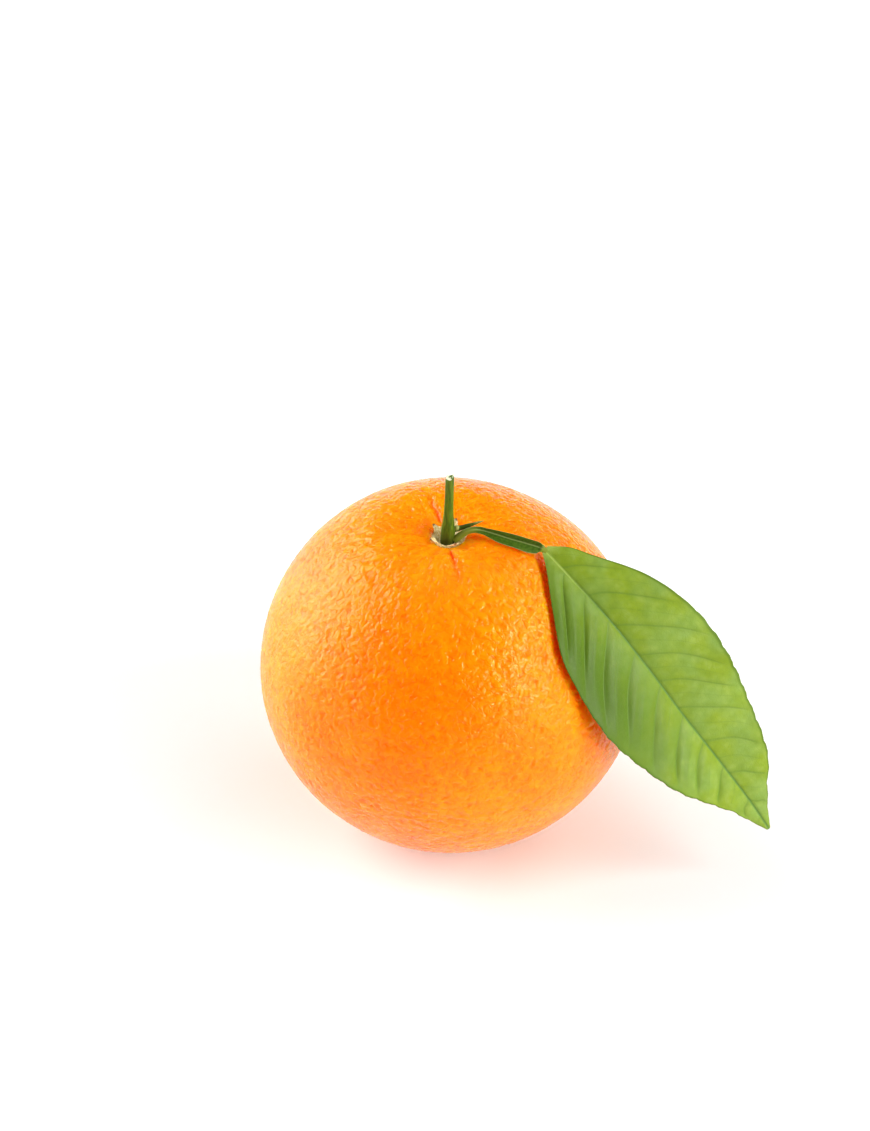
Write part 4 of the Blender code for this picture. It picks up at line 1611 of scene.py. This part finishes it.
@dataclass
class Leaf:
    """The leaf blade: folded on its midrib, quilted between its veins, waved and toothed."""

    midrib_points: tuple[Point, ...] = (
        (19.05, -4.35, 74.6),
        (24.1, -8.6, 71.2),
        (32.2, -13.4, 63.9),
        (40.3, -17.2, 54.0),
        (47.6, -19.6, 43.4),
        (55.3, -21.0, 31.9),
        (62.6, -22.0, 20.4),
        (67.2, -22.7, 12.3),
    )
    # Half-widths along the leaf, in millimetres
    outlines: dict[Half, tuple] = field(default_factory=lambda: {
        Half.LEFT: (
            (0.0, 0.7), (0.05, 3.4), (0.12, 8.5), (0.21, 14.2), (0.30, 16.1), (0.42, 16.9),
            (0.55, 15.1), (0.70, 11.5), (0.82, 7.0), (0.88, 4.4), (0.94, 2.5), (1.0, 0.5),
        ),
        Half.RIGHT: (
            (0.0, 1.1), (0.04, 4.2), (0.10, 6.9), (0.22, 12.2), (0.32, 14.7), (0.43, 15.4),
            (0.58, 13.8), (0.72, 11.1), (0.82, 8.4), (0.88, 5.2), (0.94, 2.4), (1.0, 0.5),
        ),
    })
    folds: dict[Half, tuple[float, float]] = field(default_factory=lambda: {
        Half.LEFT: (33, 14), Half.RIGHT: (10, 5),
    })
    wave_starts: dict[Half, float] = field(default_factory=lambda: {
        Half.LEFT: 2.6, Half.RIGHT: 0.9,
    })
    quilt: dict[Half, float] = field(default_factory=lambda: {
        Half.LEFT: 0.36 * MM, Half.RIGHT: 0.15 * MM,
    })
    length: float = 83 * MM
    arch: float = 0.5 * MM
    wave_count: float = 4.0
    wave_height: float = 0.7 * MM
    vein_pairs: int = 9
    vein_crowding: float = 0.87
    vein_slant: float = 0.9
    teeth: int = 17
    tooth_depth: float = 0.26 * MM
    fine_teeth: int = 46
    fine_tooth_depth: float = 0.05 * MM
    thickness: float = 0.34 * MM
    rib_height: tuple[float, float] = (0.75 * MM, 0.12 * MM)  # at the stalk and the tip
    rib_spread: float = 0.62 * MM
    back_vein: float = 0.13 * MM  # how high the side veins stand beneath
    groove: tuple[float, float] = (0.16 * MM, 0.35 * MM)  # depth and half-width
    stations: int = 300
    columns: int = 56  # on each side of the midrib
    crowding: float = 1.15
    finish: LeafFinish = field(default_factory=LeafFinish)

    def tooth(self, share: float, half: Half) -> float:
        """How far the teeth of the margin stand out.

        Args:
            share: how far along the leaf.
            half: which half's margin.

        Returns:
            A distance in metres.
        """
        big = self.tooth_depth * abs(math.sin(math.pi * self.teeth * share))
        turn = math.tau * self.fine_teeth * share + 2 * half.value
        fine = self.fine_tooth_depth * math.sin(turn) ** 3
        return (big + fine) * float(rise(share, 0.2, 0.5)) * float(rise(1 - share, 0.0, 0.1))

    def vein_count(
        self, share: float, out: np.ndarray, across: np.ndarray, half: Half
    ) -> np.ndarray:
        """Which side vein a place lies on: a whole number on each vein.

        Args:
            share: how far along the leaf.
            out: distances from the midrib.
            across: shares of the way to the margin.
            half: which half.

        Returns:
            A count for each distance.
        """
        slant = self.vein_slant * (0.62 + 0.50 * across)
        along = np.maximum(0.0, share - slant * out / self.length)
        even = (self.vein_pairs + 1) * along**self.vein_crowding
        drift = 0.12 * np.sin(math.tau * (1.9 * along + 0.21 * half.value))
        wander = 0.025 * np.sin(math.tau * (1.3 * across + 3.3 * along + 0.4 * half.value))
        return even + drift + wander

    def relief(
        self, share: float, out: np.ndarray, across: np.ndarray, half: Half
    ) -> np.ndarray:
        """Bulges between the side veins, the wave of the margin and the arch of the half.

        Args:
            share: how far along the leaf.
            out: distances from the midrib.
            across: shares of the way to the margin.
            half: which half.

        Returns:
            A height for each distance.
        """
        count = self.vein_count(share, out, across, half)
        fade = float(rise(share, 0.0, 0.15) * rise(1 - share, 0.0, 0.2)) * np.sin(math.pi * across)
        pillow = 2 * np.abs(np.sin(math.pi * count)) ** 0.8 - 1
        ridges = np.cos(3 * math.tau * count + 5 * across)
        pillow += 0.15 * ridges * np.sin(math.tau * 2.3 * share + 1.1) ** 2
        quilt = self.quilt[half] * pillow * fade
        turn = math.tau * self.wave_count * share + self.wave_starts[half]
        wave = self.wave_height * math.sin(turn) * across**2 * float(bell(2 * share - 1))
        depth, wide = self.groove
        groove = depth * np.exp(-((out / wide) ** 2)) * float(rise(share, 0.02, 0.15))
        return quilt + wave - self.arch * across**2 - groove

    def build(self) -> bpy.types.Object:
        """Makes the blade as one closed sheet, thicker along its midrib.

        Returns:
            The finished piece.
        """
        path = smooth_path(self.midrib_points, self.stations) * MM
        _, side, up = BladeFrame(path).directions()
        t = np.arange(-self.columns, self.columns + 1) / self.columns
        across = np.abs(t) ** self.crowding
        shares = np.linspace(0, 1, self.stations)
        widths = {half: read_curve(self.outlines[half], shares) * MM for half in Half}
        upper, lower, blade = [], [], []
        for i, share in enumerate(shares):
            row = np.zeros((len(t), 3))
            outs = np.zeros(len(t))
            counts = np.zeros(len(t))
            for half in Half:
                chosen = t < 0 if half is Half.LEFT else t >= 0
                reach = across[chosen]
                out = reach * widths[half][i] + reach**6 * self.tooth(share, half)
                fold = math.radians(np.interp(share, (0, 1), self.folds[half]))
                outwards = math.cos(fold) * side[i] * half.value + math.sin(fold) * up[i]
                lift = self.relief(share, out, reach, half)
                row[chosen] = path[i] + np.outer(out, outwards) + np.outer(lift, up[i])
                outs[chosen] = out * half.value / MM
                counts[chosen] = self.vein_count(share, out, reach, half)
            high = np.interp(share, (0, 1), self.rib_height)
            rib = high * np.exp(-((outs * MM / self.rib_spread) ** 2))
            near_vein = np.abs(counts - np.round(counts))
            ridge = self.back_vein * np.exp(-((near_vein / 0.05) ** 2))
            ridge *= 1 - rise(across, 0.6, 0.9)
            thick = self.thickness * (1 - 0.55 * across**5) + rib + ridge
            upper.append(row)
            lower.append(row - np.outer(thick, up[i]))
            blade.append(np.stack([np.full(len(t), share), outs, counts], 1))
        count = len(t)
        under = np.repeat([0.0, 1.0], self.stations * count)
        margin = np.tile(across, 2 * self.stations)
        piece = mesh_piece(
            "leaf_blade",
            np.concatenate(upper + lower),
            sheet_faces(self.stations, count),
            self.finish.material(),
            blade=np.concatenate(blade + blade),
            under=under,
            margin=margin,
        )
        place_piece(piece, ["leaf"])
        return piece


# The studio


@dataclass(frozen=True)
class Softbox:
    """A large soft light that faces the fruit."""

    name: str
    direction: Point  # from the middle of the fruit
    distance: float
    size: tuple[float, float]
    power: float  # in watts
    along: Point = (0.0, 0.0, 1.0)  # the way that its second side runs

    def build(self) -> None:
        """Makes the light."""
        data = bpy.data.lights.new(self.name, "AREA")
        data.shape = "RECTANGLE"
        data.size, data.size_y = self.size
        data.energy = self.power
        away = Vector(self.direction).normalized()
        second = Vector(self.along)
        second = (second - away * second.dot(away)).normalized()
        turn = Matrix((second.cross(away), second, away)).transposed()
        place = Matrix.Translation(away * self.distance + Vector((0, 0, MIDDLE_HEIGHT)))
        linked(self.name, data).matrix_world = place @ turn.to_4x4()


@dataclass
class Studio:
    """Camera, floor, soft lights and the white surround."""

    elevation: float = 43.0
    distance: float = 1.0
    fruit_radius: float = 40 * MM
    fruit_pixels: float = 190.0  # radius of the fruit in the picture
    frame_height: float = 1131.0
    offset_pixels: tuple[float, float] = (-16.0, 99.5)  # the picture's middle from the fruit's
    sensor: float = 36.0
    floor_size: float = 2.4
    surround: float = 0.03
    softboxes: tuple[Softbox, ...] = (
        Softbox("left_box", (-0.85, 0.35, 0.40), 0.8, (0.8, 0.8), 14.0),
        Softbox("left_front_box", (-0.93, -0.25, 0.25), 0.8, (0.5, 0.5), 2.0),
        Softbox("right_strip", (0.75, -0.42, 0.45), 0.8, (0.24, 0.85), 11.2, (0.13, -1.19, -0.55)),
        Softbox("right_back_box", (0.65, 0.45, 0.60), 0.8, (0.4, 0.5), 1.9, (0.13, -1.19, -0.55)),
        Softbox("top_box", (0.0, 0.25, 1.0), 0.9, (0.7, 0.7), 0.5),
    )

    def build(self) -> None:
        """Makes everything round the fruit."""
        self.build_camera()
        self.build_floor()
        self.build_surround()
        for softbox in self.softboxes:
            softbox.build()
        bpy.context.scene.view_settings.view_transform = "Standard"

    def build_camera(self) -> None:
        """The camera of the photograph's view, from the size of the fruit in it."""
        tangent = math.sqrt(self.distance**2 - self.fruit_radius**2)
        focal = self.fruit_pixels * tangent / self.fruit_radius
        step = self.distance / focal
        slope = math.radians(self.elevation)
        middle = Vector((0, 0, MIDDLE_HEIGHT))
        away = Vector((0, -math.cos(slope), math.sin(slope)))
        up = Vector((0, math.sin(slope), math.cos(slope)))
        right, higher = self.offset_pixels
        target = middle + Vector((1, 0, 0)) * right * step + up * higher * step
        data = bpy.data.cameras.new("camera")
        data.sensor_width = self.sensor
        data.lens = focal * self.sensor / self.frame_height
        camera = linked("camera", data)
        camera.location = middle + away * self.distance
        camera.rotation_euler = (target - camera.location).to_track_quat("-Z", "Y").to_euler()
        bpy.context.scene.camera = camera

    def build_floor(self) -> None:
        """A wide pale floor."""
        half = self.floor_size / 2
        corners = np.array([(-half, -half, 0), (half, -half, 0), (half, half, 0), (-half, half, 0)])
        floor = mesh_piece("floor", corners, [(0, 1, 2, 3)], FloorFinish().material())

    def build_surround(self) -> None:
        """A white surround that the camera sees brighter than the fruit does."""
        world = bpy.data.worlds.new("surround")
        world.use_nodes = True
        graph = Graph(world.node_tree)
        seen = graph.add("ShaderNodeLightPath").outputs["Is Camera Ray"]
        back = world.node_tree.nodes["Background"]
        back.inputs["Color"].default_value = (1.0, 1.0, 1.0, 1.0)
        graph.feed(back.inputs["Strength"], graph.fade(seen, 0.0, 1.0, self.surround, 1.0))
        bpy.context.scene.world = world


def main() -> None:
    """Builds the studio and the orange, piece by piece."""
    logging.basicConfig(level=logging.INFO, format="%(name)s: %(message)s")
    Studio().build()
    fruit = Fruit()
    fruit.build()
    calyx_foot = fruit.socket_floor + CALYX_GAP
    Calyx(place=fruit.socket_place, foot=calyx_foot).build()
    Twig(foot=calyx_foot + TWIG_RISE).build()
    Stalk().build()
    Leaf().build()


if __name__ == "__main__":
    main()
